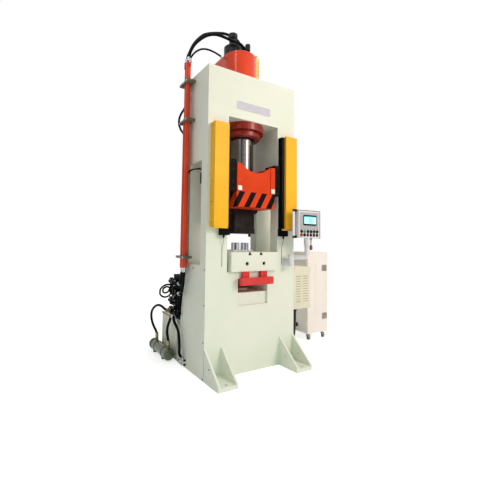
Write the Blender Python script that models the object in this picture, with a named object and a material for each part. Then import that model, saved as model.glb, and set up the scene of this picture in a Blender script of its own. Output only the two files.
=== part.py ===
"""Four-column hydraulic press with a welded frame, modelled as separate pieces.

Metres, +Z up. The origin is on the floor under the middle of the frame, and the front faces -Y.
The press frame carries a cylinder in its crown, and the cylinder's rod carries the slide. Two guarded
faces, a bolster, an ejector, an oil plant behind, a swinging pendant panel and a control cabinet on
casters complete it.
"""
import math

import bmesh
import bpy
from mathutils import Matrix, Vector

for old_object in list(bpy.data.objects):
    bpy.data.objects.remove(old_object, do_unlink=True)

# Clearances: SEAT is left between faces that rest on each other, RUN between faces that slide.
SEAT = 0.0003
RUN = 0.0005
OVERLAP = 0.01

# Welded frame: crown on top, bed below, four columns between them.
FRAME_WIDTH = 1.31
FRAME_DEPTH = 0.59
FRAME_HEIGHT = 3.60
CROWN_HEIGHT = 0.57
BED_HEIGHT = 1.184
WINDOW_WIDTH = 0.75
SIDE_WINDOW_DEPTH = 0.31
SIDE_WINDOW_SILL = 0.076
SIDE_WINDOW_HEIGHT = 1.23
SIDE = FRAME_WIDTH / 2
FRONT = -FRAME_DEPTH / 2
REAR = FRAME_DEPTH / 2
JAMB = WINDOW_WIDTH / 2
COLUMN_DEPTH = (FRAME_DEPTH - SIDE_WINDOW_DEPTH) / 2
CROWN_UNDERSIDE = FRAME_HEIGHT - CROWN_HEIGHT
SIDE_WINDOW_LOW = BED_HEIGHT + SIDE_WINDOW_SILL
SIDE_WINDOW_HIGH = SIDE_WINDOW_LOW + SIDE_WINDOW_HEIGHT

# Feet: a base plate between two sloping gussets at each front corner, taller gussets at the rear.
FOOT_REACH = 0.325
FOOT_WIDTH = 0.24
FOOT_HEIGHT = 0.345
FOOT_TOE = 0.06
FOOT_PLATE = 0.025
FOOT_BASE = 0.045
FOOT_BOLT_RADIUS = 0.018
FOOT_BOLT_REACH = 0.27
GUSSET_HOLE_RADIUS = 0.014
GUSSET_HOLE_REACH = 0.12
GUSSET_HOLE_HEIGHT = 0.138
DRAIN_Y = 0.245
DRAIN_Z = 0.09
BUTTRESS_REACH = 0.155
BUTTRESS_HEIGHT = 0.95
BUTTRESS_TOE = 0.03

# Bay in the bed for the ejector, with a shallow recess in the front plate below it.
BAY_WIDTH = 0.44
BAY_SILL = 0.78
BAY_FLOOR = 0.928
BAY_HEAD = 1.10
BAY_REAR_WALL = 0.06
RECESS_DEPTH = 0.03

# Bolster with T-slots, lifting holes and an ejector hole.
BOLSTER_WIDTH = 0.69
BOLSTER_OVERHANG = 0.05
BOLSTER_HEIGHT = 0.229
BOLSTER_BEVEL = 0.004
SLOT_PITCH = 0.166
SLOT_NECK = 0.024
SLOT_DEPTH = 0.036
SLOT_FOOT_WIDTH = 0.042
SLOT_FOOT_HEIGHT = 0.016
LIFT_HOLE_RADIUS = 0.017
LIFT_HOLE_DEPTH = 0.06
LIFT_HOLE_SPACING = 0.25
LIFT_HOLE_HEIGHT = 0.092
EJECTOR_HOLE_RADIUS = 0.03
BOLSTER_BOTTOM = BED_HEIGHT + SEAT
BOLSTER_TOP = BOLSTER_BOTTOM + BOLSTER_HEIGHT
BOLSTER_HALF_DEPTH = FRAME_DEPTH / 2 + BOLSTER_OVERHANG

# Main cylinder, its rod and piston.
BARREL_RADIUS = 0.23
FLANGE_RADIUS = 0.289
FLANGE_HEIGHT = 0.09
GLAND_RADIUS = 0.247
GLAND_HEIGHT = 0.075
GLAND_CHAMFER = 0.012
CYLINDER_BORE = 0.185
CYLINDER_HEAD = 0.06
OIL_PORT_RADIUS = 0.05
ROD_RADIUS = 0.16
PISTON_HEIGHT = 0.16
PISTON_TOP_GAP = 0.02
CHAMBER_FLOOR_RISE = 0.07
FLANGE_TOP = CROWN_UNDERSIDE - SEAT
GLAND_BOTTOM = FLANGE_TOP - FLANGE_HEIGHT - GLAND_HEIGHT
ROUND = 40

# Slide: an open-topped welded block on the rod.
SLIDE_WIDTH = 0.57
SLIDE_OVERHANG = 0.05
SLIDE_BOTTOM = 1.95
SLIDE_HEIGHT = 0.52
SLIDE_WALL = 0.04
SLIDE_FLOOR = 0.16
SLIDE_NOTCH_WIDTH = 0.44
SLIDE_NOTCH_DEPTH = 0.09
SLIDE_HUB_RADIUS = 0.20
SLIDE_HUB_HEIGHT = 0.24
CHEEK_WIDTH = 0.065
CHEEK_PROUD = 0.010
SLIDE_LIP_HEIGHT = 0.185
STOP_SIZE = 0.052
STOP_PROUD = 0.018
SLIDE_TOP = SLIDE_BOTTOM + SLIDE_HEIGHT
SLIDE_HALF_WIDTH = SLIDE_WIDTH / 2
SLIDE_HALF_DEPTH = FRAME_DEPTH / 2 + SLIDE_OVERHANG

# Guide rails bolted to the column faces beside the slide.
RAIL_LOW = 2.125
RAIL_HEIGHT = 0.385
RAIL_PROUD = 0.045
RAIL_LIP = 0.012
RAIL_CHAMFER = 0.004

# Die set: a shoe with two guide pillars below, a punch holder with two bores above.
SHOE_WIDTH = 0.30
SHOE_DEPTH = 0.16
SHOE_HEIGHT = 0.02
PILLAR_RADIUS = 0.052
PILLAR_PITCH = 0.144
PILLAR_HEIGHT = 0.11
PILLAR_CLEARANCE = 0.0015
PILLAR_CHAMFER = 0.004
TOOL_WIDTH = 0.30
TOOL_DEPTH = 0.20
TOOL_HEIGHT = 0.31
TOOL_HEAD_WIDTH = 0.34
TOOL_HEAD_HEIGHT = 0.05
TOOL_FOOT_WIDTH = 0.32
TOOL_FOOT_HEIGHT = 0.065
TOOL_BORE_DEPTH = 0.22
TOOL_EDGE = 0.002

# Light curtain columns and the sheet covers beside them.
CURTAIN_INNER = 0.37
CURTAIN_WIDTH = 0.125
CURTAIN_DEPTH = 0.07
CURTAIN_LOW = 1.61
CURTAIN_HEIGHT = 1.28
CURTAIN_GROOVE = 0.010
CURTAIN_SHOE_HEIGHT = 0.095
CURTAIN_SHOE_PROUD = 0.006
COVER_INNER = 0.43
COVER_WIDTH = 0.185
COVER_DEPTH = 0.105
COVER_LOW = 1.706
COVER_HEIGHT = 1.194
COVER_SHEET = 0.003

# Riser pipes on the left side, and the clamps that hold them.
RISER_RADIUS = 0.029
RISER_UPPER_RADIUS = 0.022
RISER_STAND_OFF = 0.065
RISER_PITCH = 0.062
RISER_MIDDLE_Y = 0.166
RISER_LOW = 1.21
RISER_LENGTH = 2.59
RISER_NUT_GAP = 0.001
RISER_NUT_HEIGHT = 0.075
PILOT_PORT_RADIUS = 0.013
PILOT_PORT_REACH = 0.046
CLAMP_HEIGHTS = (1.34, 3.03, 3.52)
CLAMP_THICKNESS = 0.028
CLAMP_LENGTH = 0.25
CLAMP_REACH = 0.115
RISER_X = -SIDE - RISER_STAND_OFF
RISER_FRONT_Y = RISER_MIDDLE_Y - RISER_PITCH / 2
RISER_REAR_Y = RISER_MIDDLE_Y + RISER_PITCH / 2
RISER_TOP = RISER_LOW + RISER_LENGTH
RISER_STEP = CLAMP_HEIGHTS[1] + 0.04
RISER_NUT_RADIUS = (RISER_PITCH - RISER_NUT_GAP) / 2
SWITCH_CABLE_X = -SIDE - 0.020
SWITCH_CABLE_Y = 0.187
SIGNAL_CABLE_X = -SIDE - 0.037
SIGNAL_CABLE_Y = 0.247
PIPE_ROUND = 20

# Prefill tank on the crown with its valves, and the gauge column beside it.
TANK_RADIUS = 0.222
TANK_CENTRE_Y = 0.072
TANK_REAR_Y = 0.405
TANK_HEIGHT = 0.42
TANK_EDGE = 0.004
FEED_REAR_X = 0.152
FEED_REAR_Y = 0.200
FEED_FRONT_X = 0.040
FEED_FRONT_Y = -0.020
PILOT_ENTRY_Y = 0.100
PILOT_ENTRY_DROP = 0.0353
VALVE_X = -0.075
VALVE_Y = 0.125
VALVE_RADIUS = 0.12
VALVE_BASE_HEIGHT = 0.15
VALVE_NECK_RADIUS = 0.05
VALVE_HEAD_RADIUS = 0.066
VALVE_TAPER = 0.06
VALVE_NECK_LENGTH = 0.06
VALVE_HEAD_LENGTH = 0.055
VALVE_ROUNDING = 0.015
VALVE_SCREW_CIRCLE = 0.105
VALVE_SCREW_RADIUS = 0.011
VALVE_SCREW_HEIGHT = 0.028
PILOT_X = 0.128
PILOT_Y = 0.055
PILOT_SIZE = 0.075
PILOT_HEIGHT = 0.23
PILOT_BLOCK_SHARE = 0.45
PILOT_COIL_SHARE = 0.38
PILOT_PIPE_RADIUS = 0.011
PILOT_PIPE_REACH = 0.08
GAUGE_SIZE = 0.062
GAUGE_HEIGHT = 0.48
GAUGE_GAP = 0.013
GAUGE_Y = 0.045
GAUGE_KNOB_RADIUS = 0.019
GAUGE_KNOB_HEIGHT = 0.05
TANK_BOTTOM = FRAME_HEIGHT + SEAT
TANK_TOP = TANK_BOTTOM + TANK_HEIGHT

# Hoses and cables.
THICK_HOSE = 0.018
THIN_HOSE = 0.0115
COOLER_HOSE = 0.017
CABLE = 0.011
SIGNAL_CABLE = 0.014
SWITCH_CABLE = 0.009
CONDUIT = 0.026
HOSE_CLEARANCE = 0.20
HOSE_LEAD_TOP = max(RISER_TOP, FRAME_HEIGHT + HOSE_CLEARANCE)

# Ejector: cylinder in the bed, yoke with a crossbar in front.
EJECTOR_RADIUS = 0.07
EJECTOR_DEPTH = 0.30
EJECTOR_COLLAR_RADIUS = 0.10
EJECTOR_COLLAR_HEIGHT = 0.025
EJECTOR_ROD_RADIUS = 0.036
EJECTOR_ROD_DEPTH = 0.20
YOKE_BOTTOM = 1.04
YOKE_THICKNESS = 0.045
YOKE_WIDTH = 0.36
CROSSBAR_LENGTH = 0.49
CROSSBAR_DEPTH = 0.062
CROSSBAR_BOTTOM = 1.03
CROSSBAR_HEIGHT = 0.085
CROSSBAR_REACH = 0.112
LUG_WIDTH = 0.095
LUG_INNER = 0.085
LUG_DEPTH = 0.035
LUG_GAP = 0.001
LUG_CLEARANCE = 0.008
BAR_HOLE_INSET = 0.005
CROSSBAR_HOLE_RADIUS = 0.013
EJECTOR_TRAVEL = 0.08

# Oil plant behind the frame.
PLANT_INSET = 0.005
PLANT_LEFT = PLANT_INSET - SIDE
PLANT_WIDTH = 1.15
PLANT_FRONT = 0.47
PLANT_DEPTH = 0.53
PLANT_HEIGHT = 0.53
PLANT_LID = 0.012
PLANT_RIB = 0.010
PRESSING_WIDTH = 0.024
PRESSING_DEPTH = 0.004
PRESSING_MARGIN = 0.06
MOTOR_X = 0.05
MOTOR_Y = 0.74
MOTOR_RADIUS = 0.13
MOTOR_LENGTH = 0.36
MOTOR_LIFT = 0.16
MOTOR_SHIELD = ((0, 0), (0.075, 0), (0.115, 0.03), (MOTOR_RADIUS, 0.04))
PUMP_PROFILE = ((0.085, 0.02), (0.085, 0.13), (0.055, 0.14), (0.055, 0.26), (0, 0.26))
FIN_COUNT = 10
FIN_WIDTH = 0.008
FIN_HEIGHT = 0.018
FIN_START = 0.06
FIN_END = 0.03
FIN_ARC = 140
MOTOR_FOOT_LENGTH = 0.06
MOTOR_FOOT_REACH = 0.11
MOTOR_FOOT_HEIGHT = 0.06
MOTOR_FOOT_INSETS = (0.08, 0.10)
MANIFOLD_WIDTH = 0.13
MANIFOLD_LEFT = PLANT_LEFT
MANIFOLD_FRONT = 0.375
MANIFOLD_DEPTH = 0.245
MANIFOLD_HEIGHT = 0.56
MODULE_COUNT = 4
MODULE_PITCH = 0.125
MODULE_FIRST = 0.09
MODULE_HEIGHT = 0.08
MODULE_REACH = 0.065
MODULE_INSET = 0.02
MODULE_DEPTH = 0.20
COIL_RADIUS = 0.026
REAR_COIL_LENGTH = 0.085
FRONT_COIL_LENGTH = 0.06
RETURN_PORT_ALONG = 0.105
RETURN_PORT_LIFT = 0.012
RETURN_PORT_REACH = 0.025
FEED_PORT_RADIUS = 0.024
FEED_PORT_LENGTH = 0.03
PLANT_TOP = PLANT_HEIGHT + SEAT
MODULE_X = MANIFOLD_LEFT - MODULE_REACH
FEED_PORT_X = MODULE_X + FEED_PORT_RADIUS + 0.001

# Oil cooler on the floor at the left.
COOLER_STAND_OFF = 0.09
COOLER_X = -SIDE - COOLER_STAND_OFF
COOLER_RADIUS = 0.066
COOLER_RING_RADIUS = 0.075
COOLER_LOW_Y = 0.44
COOLER_LENGTH = 0.66
COOLER_AXIS_Z = 0.082
COOLER_PORT_RADIUS = 0.022
COOLER_PORT_HEIGHT = 0.115
COOLER_NEAR_PORT = 0.085
COOLER_FAR_PORT = 0.51
COOLER_SADDLE = 0.17
COOLER_SADDLE_WIDTH = 0.10
COOLER_SADDLE_LENGTH = 0.04
COOLER_DOME = 0.045
COOLER_BAND = 0.03
COOLER_RING = 0.18
COOLER_RING_LENGTH = 0.02
COOLER_STEP = 0.004

# Louvred box on the right side of the frame.
LOUVRE_BOX_WIDTH = 0.30
LOUVRE_BOX_DEPTH = 0.30
LOUVRE_BOX_LOW = 0.661
LOUVRE_BOX_HEIGHT = 0.552
LOUVRE_COUNT = 11
LOUVRE_PITCH = 0.033
LOUVRE_PROUD = 0.008
LOUVRE_FIRST = 0.10
LOUVRE_COLUMNS = ((0.05, 0.13), (0.17, 0.26))

# Control cabinet on casters.
CABINET_STAND_OFF = 0.805
CABINET_LEFT = SIDE + CABINET_STAND_OFF
CABINET_WIDTH = 0.45
CABINET_FRONT = 0.255
CABINET_DEPTH = 0.60
CABINET_LOW = 0.11
CABINET_HEIGHT = 1.275
CABINET_WALL = 0.012
PLATE_SIDE_GAP = 0.05
PLATE_END_GAP = 0.10
PLATE_STAND_OFF = 0.03
DEVICE_HEIGHTS = (0.10, 0.07, 0.09, 0.12)
DEVICE_FIRST = 0.22
DEVICE_PITCH = 0.25
DEVICE_REACH = 0.12
DEVICE_SIDE_GAP = 0.08
SEAM_HEIGHT = 0.63
SEAM_WIDTH = 0.006
SEAM_DEPTH = 0.003
VENT_HEIGHTS = (0.20, 0.97)
VENT_SLOTS = 6
VENT_PITCH = 0.018
VENT_SLOT = 0.008
VENT_LENGTH = 0.11
VENT_INSET = 0.02
LOCK_WIDTH = 0.025
LOCK_INSET = 0.030
LOCK_HEIGHT = 0.70
LOCK_LENGTH = 0.10
LOCK_DEPTH = 0.006
DOOR_THICKNESS = 0.018
DOOR_GAP = 0.002
HINGE_RADIUS = 0.006
HINGE_LENGTH = 0.05
HINGE_INSET = 0.10
HINGE_LEAF = 0.004
CASTER_INSET = 0.055
WHEEL_RADIUS = 0.035
WHEEL_WIDTH = 0.024
AXLE_RADIUS = 0.005
FORK_GAP = 0.0015
FORK_PLATE = 0.004
FORK_TRAIL = 0.018
FORK_HALF_WIDTH = 0.022
FORK_FOOT = 0.012
FORK_CLEARANCE = 0.006
FORK_CROWN = 0.008
FORK_BOSS_RADIUS = 0.018
BODY_FRONT = CABINET_FRONT + DOOR_THICKNESS + DOOR_GAP
HINGE_X = CABINET_LEFT - HINGE_RADIUS - RUN
HINGE_HEIGHTS = (CABINET_LOW + HINGE_INSET,
                 CABINET_LOW + CABINET_HEIGHT - HINGE_INSET - 2 * HINGE_LENGTH)
HINGE_Y = BODY_FRONT + HINGE_RADIUS
CASTER_COLUMNS = (CABINET_LEFT + CASTER_INSET, CABINET_LEFT + CABINET_WIDTH - CASTER_INSET - FORK_TRAIL)

# Pendant: bracket on the front of the right column, swinging arm, swivelling panel box.
PIVOT_INSET = 0.138
PIVOT_REACH = 0.10
BRACKET_Z = 1.28
BRACKET_PLATE_WIDTH = 0.10
BRACKET_PLATE_HEIGHT = 0.095
BRACKET_PLATE_THICKNESS = 0.012
BRACKET_STUB_RADIUS = 0.034
BRACKET_BOSS_RADIUS = 0.040
BRACKET_BOSS_TOP = 1.312
ARM_Z = 1.347
ARM_RADIUS = 0.029
ARM_SIDE_REACH = 0.153
ARM_FRONT_REACH = 0.125
ARM_TOP = 1.500
ARM_BEND = 0.045
ARM_CUP_LIP = 0.008
ARM_CUP_CHAMFER = 0.01
PANEL_WIDTH = 0.36
PANEL_HEIGHT = 0.358
PANEL_DEPTH = 0.09
PANEL_LOW = 1.592
PANEL_BEVEL = 0.006
PANEL_NECK_RADIUS = 0.036
HANDLE_RADIUS = 0.009
HANDLE_REACH = 0.045
HANDLE_LENGTH = 0.325
SCREEN_WIDTH = 0.232
SCREEN_HEIGHT = 0.135
SCREEN_LOW = 0.142
SCREEN_RECESS = 0.004
BUTTON_PITCH = 0.054
BUTTON_ROW = 0.040
LAMP_ROW = 0.081
BUTTON_RADIUS = 0.0125
BUTTON_HOLE_DEPTH = 0.030
BUTTON_TRAVEL = 0.005
BUTTON_SPARE = 0.002
BUTTON_PROUD = 0.010
LAMP_PROUD = 0.008
MUSHROOM_RADIUS = BUTTON_RADIUS * 1.5
MUSHROOM_HEIGHT = 0.016
SWITCH_PROUD = 0.004
LEVER_WIDTH = 0.008
LEVER_PROUD = 0.018
PLUG_OFFSET = 0.075
PLUG_PROFILE = ((0, 0.15), (0.012, 0.15), (0.019, 0.145), (0.019, 0.11), (0.016, 0.09), (0.006, 0.085),
                (0.007, 0.02), (0.014, 0.012), (0.014, 0), (0, 0))
PIVOT_X = SIDE - PIVOT_INSET
PIVOT_Y = FRONT - PIVOT_REACH
ARM_END_X = PIVOT_X + ARM_SIDE_REACH
ARM_END_Y = PIVOT_Y - ARM_FRONT_REACH
PANEL_FRONT = ARM_END_Y - PANEL_DEPTH / 2
PANEL_TOP = PANEL_LOW + PANEL_HEIGHT

BUTTON_NAMES = ("emergency_stop", "start_button", "stop_button", "mode_switch", "up_button",
                "down_button")


def paint(obj, name, colour, roughness, metallic):
    """Give the object a Principled material; colour is linear red, green and blue."""
    material = bpy.data.materials.get(name) or bpy.data.materials.new(name)
    material.use_nodes = True
    shader = material.node_tree.nodes["Principled BSDF"]
    shader.inputs["Base Color"].default_value = (*colour, 1.0)
    shader.inputs["Roughness"].default_value = roughness
    shader.inputs["Metallic"].default_value = metallic
    obj.data.materials.clear()
    obj.data.materials.append(material)


def frame_paint(obj):
    paint(obj, "pale_green_enamel", (0.66, 0.72, 0.60), 0.45, 0.0)


def red_paint(obj):
    paint(obj, "orange_red_enamel", (0.80, 0.10, 0.03), 0.35, 0.0)


def black_paint(obj):
    paint(obj, "black_enamel", (0.012, 0.012, 0.014), 0.45, 0.0)


def yellow_paint(obj):
    paint(obj, "yellow_enamel", (0.90, 0.50, 0.03), 0.40, 0.0)


def chrome(obj):
    paint(obj, "hard_chrome", (0.75, 0.75, 0.76), 0.12, 1.0)


def hose_rubber(obj):
    paint(obj, "hose_rubber", (0.010, 0.010, 0.011), 0.60, 0.0)


def cast_aluminium(obj):
    paint(obj, "cast_aluminium", (0.62, 0.63, 0.66), 0.35, 0.8)


def cabinet_paint(obj):
    paint(obj, "cream_powder_coat", (0.82, 0.77, 0.70), 0.50, 0.0)


def add(name, mesh):
    """Link a mesh to the scene as a named object."""
    obj = bpy.data.objects.new(name, mesh)
    bpy.context.scene.collection.objects.link(obj)
    return obj


def finish_mesh(name, work):
    """Turn a bmesh into an object with its faces pointing out."""
    bmesh.ops.remove_doubles(work, verts=work.verts, dist=1e-6)
    bmesh.ops.recalc_face_normals(work, faces=work.faces)
    mesh = bpy.data.meshes.new(name)
    work.to_mesh(mesh)
    work.free()
    return add(name, mesh)


def box(name, low, high):
    """A block from its lowest to its highest corner."""
    work = bmesh.new()
    bmesh.ops.create_cube(work, size=1.0)
    size = Vector(high) - Vector(low)
    middle = (Vector(high) + Vector(low)) / 2
    bmesh.ops.scale(work, vec=size, verts=work.verts)
    bmesh.ops.translate(work, vec=middle, verts=work.verts)
    return finish_mesh(name, work)


def prism(name, outline, axis, low, high):
    """Extrude a closed outline along X, Y or Z; the outline holds the other two coordinates in order."""
    work = bmesh.new()
    place = {"X": lambda u, v: (low, u, v), "Y": lambda u, v: (u, low, v), "Z": lambda u,
             v: (u, v, low)}[axis]
    step = {"X": Vector((1, 0, 0)), "Y": Vector((0, 1, 0)), "Z": Vector((0, 0, 1))}[axis] * (high - low)
    face = work.faces.new([work.verts.new(place(u, v)) for u, v in outline])
    raised = bmesh.ops.extrude_face_region(work, geom=[face])["geom"]
    bmesh.ops.translate(work, vec=step,
                        verts=[item for item in raised if isinstance(item, bmesh.types.BMVert)])
    return finish_mesh(name, work)


def turned(name, profile, centre, axis="Z", steps=PIPE_ROUND):
    """Turn a profile of (radius, height) points about an axis through the centre point."""
    work = bmesh.new()
    verts = [work.verts.new((radius, 0.0, height)) for radius, height in profile]
    edges = [work.edges.new(pair) for pair in zip(verts, verts[1:])]
    bmesh.ops.spin(work, geom=verts + edges, cent=(0, 0, 0), axis=(0, 0, 1), angle=math.tau,
                   steps=steps, use_merge=True)
    turn = {"Z": Matrix.Identity(4), "X": Matrix.Rotation(math.pi / 2, 4, "Y"),
            "Y": Matrix.Rotation(-math.pi / 2, 4, "X")}[axis]
    bmesh.ops.transform(work, matrix=Matrix.Translation(centre) @ turn, verts=work.verts)
    return finish_mesh(name, work)


def rod(name, radius, low, length, axis="Z", steps=PIPE_ROUND):
    """A plain round bar from the middle of its low end face."""
    return turned(name, [(0, 0), (radius, 0), (radius, length), (0, length)], low, axis, steps)


def combine(target, tools, operation):
    """Apply one exact Boolean for each tool and remove the tools."""
    for tool in tools:
        modifier = target.modifiers.new(operation, "BOOLEAN")
        modifier.operation = operation
        modifier.solver = "EXACT"
        modifier.object = tool
        depsgraph = bpy.context.evaluated_depsgraph_get()
        result = bpy.data.meshes.new_from_object(target.evaluated_get(depsgraph))
        target.modifiers.clear()
        target.data = result
        bpy.data.objects.remove(tool, do_unlink=True)
    return target


def cut(target, *tools):
    return combine(target, tools, "DIFFERENCE")


def join(target, *tools):
    return combine(target, tools, "UNION")


def bevel(obj, width, segments=1):
    """Round the object's sharp edges."""
    modifier = obj.modifiers.new("Edge", "BEVEL")
    modifier.width = width
    modifier.segments = segments
    modifier.limit_method = "ANGLE"
    return obj


def smooth(obj):
    """Shade round faces smooth and keep edges sharp."""
    obj.data.shade_smooth()
    obj.data.set_sharp_from_angle(angle=math.radians(35))
    return obj


def curve_points(route, spacing):
    """Even points on a Catmull-Rom curve through the route's points."""
    knots = [Vector(point) for point in route]
    knots = [2 * knots[0] - knots[1]] + knots + [2 * knots[-1] - knots[-2]]
    fine = []
    for a, b, c, d in zip(knots, knots[1:], knots[2:], knots[3:]):
        for step in range(20):
            t = step / 20
            fine.append(0.5 * (2 * b + (c - a) * t + (2 * a - 5 * b + 4 * c - d) * t * t
                               + (3 * b - a - 3 * c + d) * t ** 3))
    fine.append(knots[-2])
    lengths = [0.0]
    for first, second in zip(fine, fine[1:]):
        lengths.append(lengths[-1] + (second - first).length)
    count = max(4, round(lengths[-1] / spacing))
    points = []
    index = 0
    for number in range(count + 1):
        distance = lengths[-1] * number / count
        while index < len(fine) - 2 and lengths[index + 1] < distance:
            index += 1
        share = (distance - lengths[index]) / max(lengths[index + 1] - lengths[index], 1e-9)
        points.append(fine[index].lerp(fine[index + 1], min(share, 1.0)))
    return points


def tube(name, radius, points, resolution):
    """A curve object that sweeps a circle along the points, with closed ends."""
    curve = bpy.data.curves.new(name, "CURVE")
    curve.dimensions = "3D"
    curve.bevel_depth = radius
    curve.bevel_resolution = resolution
    curve.use_fill_caps = True
    spline = curve.splines.new("POLY")
    spline.points.add(len(points) - 1)
    for target, point in zip(spline.points, points):
        target.co = (*point, 1.0)
    obj = bpy.data.objects.new(name, curve)
    bpy.context.scene.collection.objects.link(obj)
    return obj


def hose_points(radius, route):
    """Points on the smooth curve through the route, straight for a little at each end."""
    points = curve_points(route, radius * 5)
    lead = (points[1] - points[0]).length
    points[1] = points[0] + lead * (Vector(route[1]) - Vector(route[0])).normalized()
    lead = (points[-1] - points[-2]).length
    points[-2] = points[-1] + lead * (Vector(route[-2]) - Vector(route[-1])).normalized()
    return points


def between(start, end, unit, rows):
    """Route from start to end: each row is a share of the straight way and an offset from it in units."""
    first = Vector(start)
    way = Vector(end) - first
    middle = [first + way * share + unit * Vector(offset) for share, *offset in rows]
    return [first] + middle + [Vector(end)]


def hose(name, radius, route, resolution=2):
    """A flexible tube along the route."""
    return tube(name, radius, hose_points(radius, route), resolution)


def tube_mesh(name, radius, points, resolution=6):
    """The same tube as a mesh, for joining to other shapes."""
    obj = tube(name + "_path", radius, points, resolution)
    mesh = bpy.data.meshes.new_from_object(obj.evaluated_get(bpy.context.evaluated_depsgraph_get()))
    bpy.data.objects.remove(obj, do_unlink=True)
    work = bmesh.new()
    work.from_mesh(mesh)
    return finish_mesh(name, work)


def joint_empty(name, point):
    """An empty on a joint's axis, which carries the pieces that move with it."""
    empty = bpy.data.objects.new(name, None)
    empty.location = point
    empty.empty_display_size = 0.05
    bpy.context.scene.collection.objects.link(empty)
    return empty


def carry(parent, *pieces):
    """Parent pieces to an empty where they stand."""
    for piece in pieces:
        piece.parent = parent
        piece.matrix_parent_inverse = Matrix.Translation(-parent.location)


def set_origin(piece, point):
    """Move a piece's origin to a point and leave its shape where it is."""
    piece.data.transform(Matrix.Translation(-Vector(point)))
    piece.location = point
    return piece


def press_frame():
    """Crown, four columns, bed, feet and pipe clamps as one weldment."""
    frame = box("press_frame", (-SIDE, FRONT, 0), (SIDE, REAR, FRAME_HEIGHT))
    toe = FRONT - FOOT_REACH
    gusset = [(FRONT + OVERLAP, 0), (toe, 0), (toe, FOOT_TOE), (FRONT, FOOT_HEIGHT),
              (FRONT + OVERLAP, FOOT_HEIGHT)]
    heel = REAR + BUTTRESS_REACH
    buttress = [(REAR - OVERLAP, 0), (heel, 0), (heel, BUTTRESS_TOE), (REAR, BUTTRESS_HEIGHT),
                (REAR - OVERLAP, BUTTRESS_HEIGHT)]
    for side in (-1, 1):
        for outer in (SIDE, SIDE - FOOT_WIDTH + FOOT_PLATE):
            low, high = sorted((side * outer, side * (outer - FOOT_PLATE)))
            join(frame, prism("gusset", gusset, "X", low, high),
                 prism("buttress", buttress, "X", low, high))
        low, high = sorted((side * (SIDE - FOOT_PLATE / 2), side * (SIDE - FOOT_WIDTH + FOOT_PLATE / 2)))
        join(frame, box("foot_base", (low, toe, 0), (high, FRONT + OVERLAP, FOOT_BASE)))
        bolt_x = side * (SIDE - FOOT_WIDTH / 2)
        cut(frame, rod("foot_bolt", FOOT_BOLT_RADIUS, (bolt_x, FRONT - FOOT_BOLT_REACH, -OVERLAP),
                       FOOT_BASE + 2 * OVERLAP, steps=16))
    cut(frame, rod("lifting_hole", GUSSET_HOLE_RADIUS, (-SIDE - OVERLAP, FRONT - GUSSET_HOLE_REACH,
                   GUSSET_HOLE_HEIGHT), FRAME_WIDTH + 2 * OVERLAP, "X", 16))
    for height in CLAMP_HEIGHTS:
        clamp = box("clamp",
                    (-SIDE - CLAMP_REACH, RISER_MIDDLE_Y - CLAMP_LENGTH / 2,
                     height - CLAMP_THICKNESS / 2),
                    (-SIDE + OVERLAP, RISER_MIDDLE_Y + CLAMP_LENGTH / 2, height + CLAMP_THICKNESS / 2))
        for pipe_y in (RISER_FRONT_Y, RISER_REAR_Y):
            hole = RISER_RADIUS if pipe_y == RISER_FRONT_Y or height < RISER_STEP else RISER_UPPER_RADIUS
            cut(clamp, rod("pipe_hole", hole + SEAT, (RISER_X, pipe_y, height - CLAMP_THICKNESS),
                           2 * CLAMP_THICKNESS))
        if height == CLAMP_HEIGHTS[0]:
            for x, y, radius in ((SWITCH_CABLE_X, SWITCH_CABLE_Y, SWITCH_CABLE),
                                 (SIGNAL_CABLE_X, SIGNAL_CABLE_Y, SIGNAL_CABLE)):
                cut(clamp,
                    rod("cable_hole", radius + RUN, (x, y, height - CLAMP_THICKNESS),
                        2 * CLAMP_THICKNESS,
                               steps=16))
        join(frame, clamp)
    window = box("window", (-JAMB, FRONT - OVERLAP, BED_HEIGHT), (JAMB, REAR + OVERLAP, CROWN_UNDERSIDE))
    side_window = box("side_window", (-SIDE - OVERLAP, -SIDE_WINDOW_DEPTH / 2, SIDE_WINDOW_LOW),
                      (SIDE + OVERLAP, SIDE_WINDOW_DEPTH / 2, SIDE_WINDOW_HIGH))
    crown_bore = rod("crown_bore", BARREL_RADIUS + SEAT, (0, 0, CROWN_UNDERSIDE - OVERLAP),
                     CROWN_HEIGHT + 2 * OVERLAP, steps=ROUND)
    half = BAY_WIDTH / 2
    bay = box("bay", (-half, FRONT - OVERLAP, BAY_FLOOR), (half, REAR - BAY_REAR_WALL, BAY_HEAD))
    recess = box("recess", (-half, FRONT - OVERLAP, BAY_SILL),
                 (half, FRONT + RECESS_DEPTH, BAY_FLOOR + OVERLAP))
    ejector_bore = rod("ejector_bore", EJECTOR_RADIUS + SEAT, (0, 0, BAY_FLOOR - EJECTOR_DEPTH - SEAT),
                       EJECTOR_DEPTH + OVERLAP)
    cut(frame, window, side_window, crown_bore, bay, recess, ejector_bore)
    frame_paint(frame)
    return frame


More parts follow.
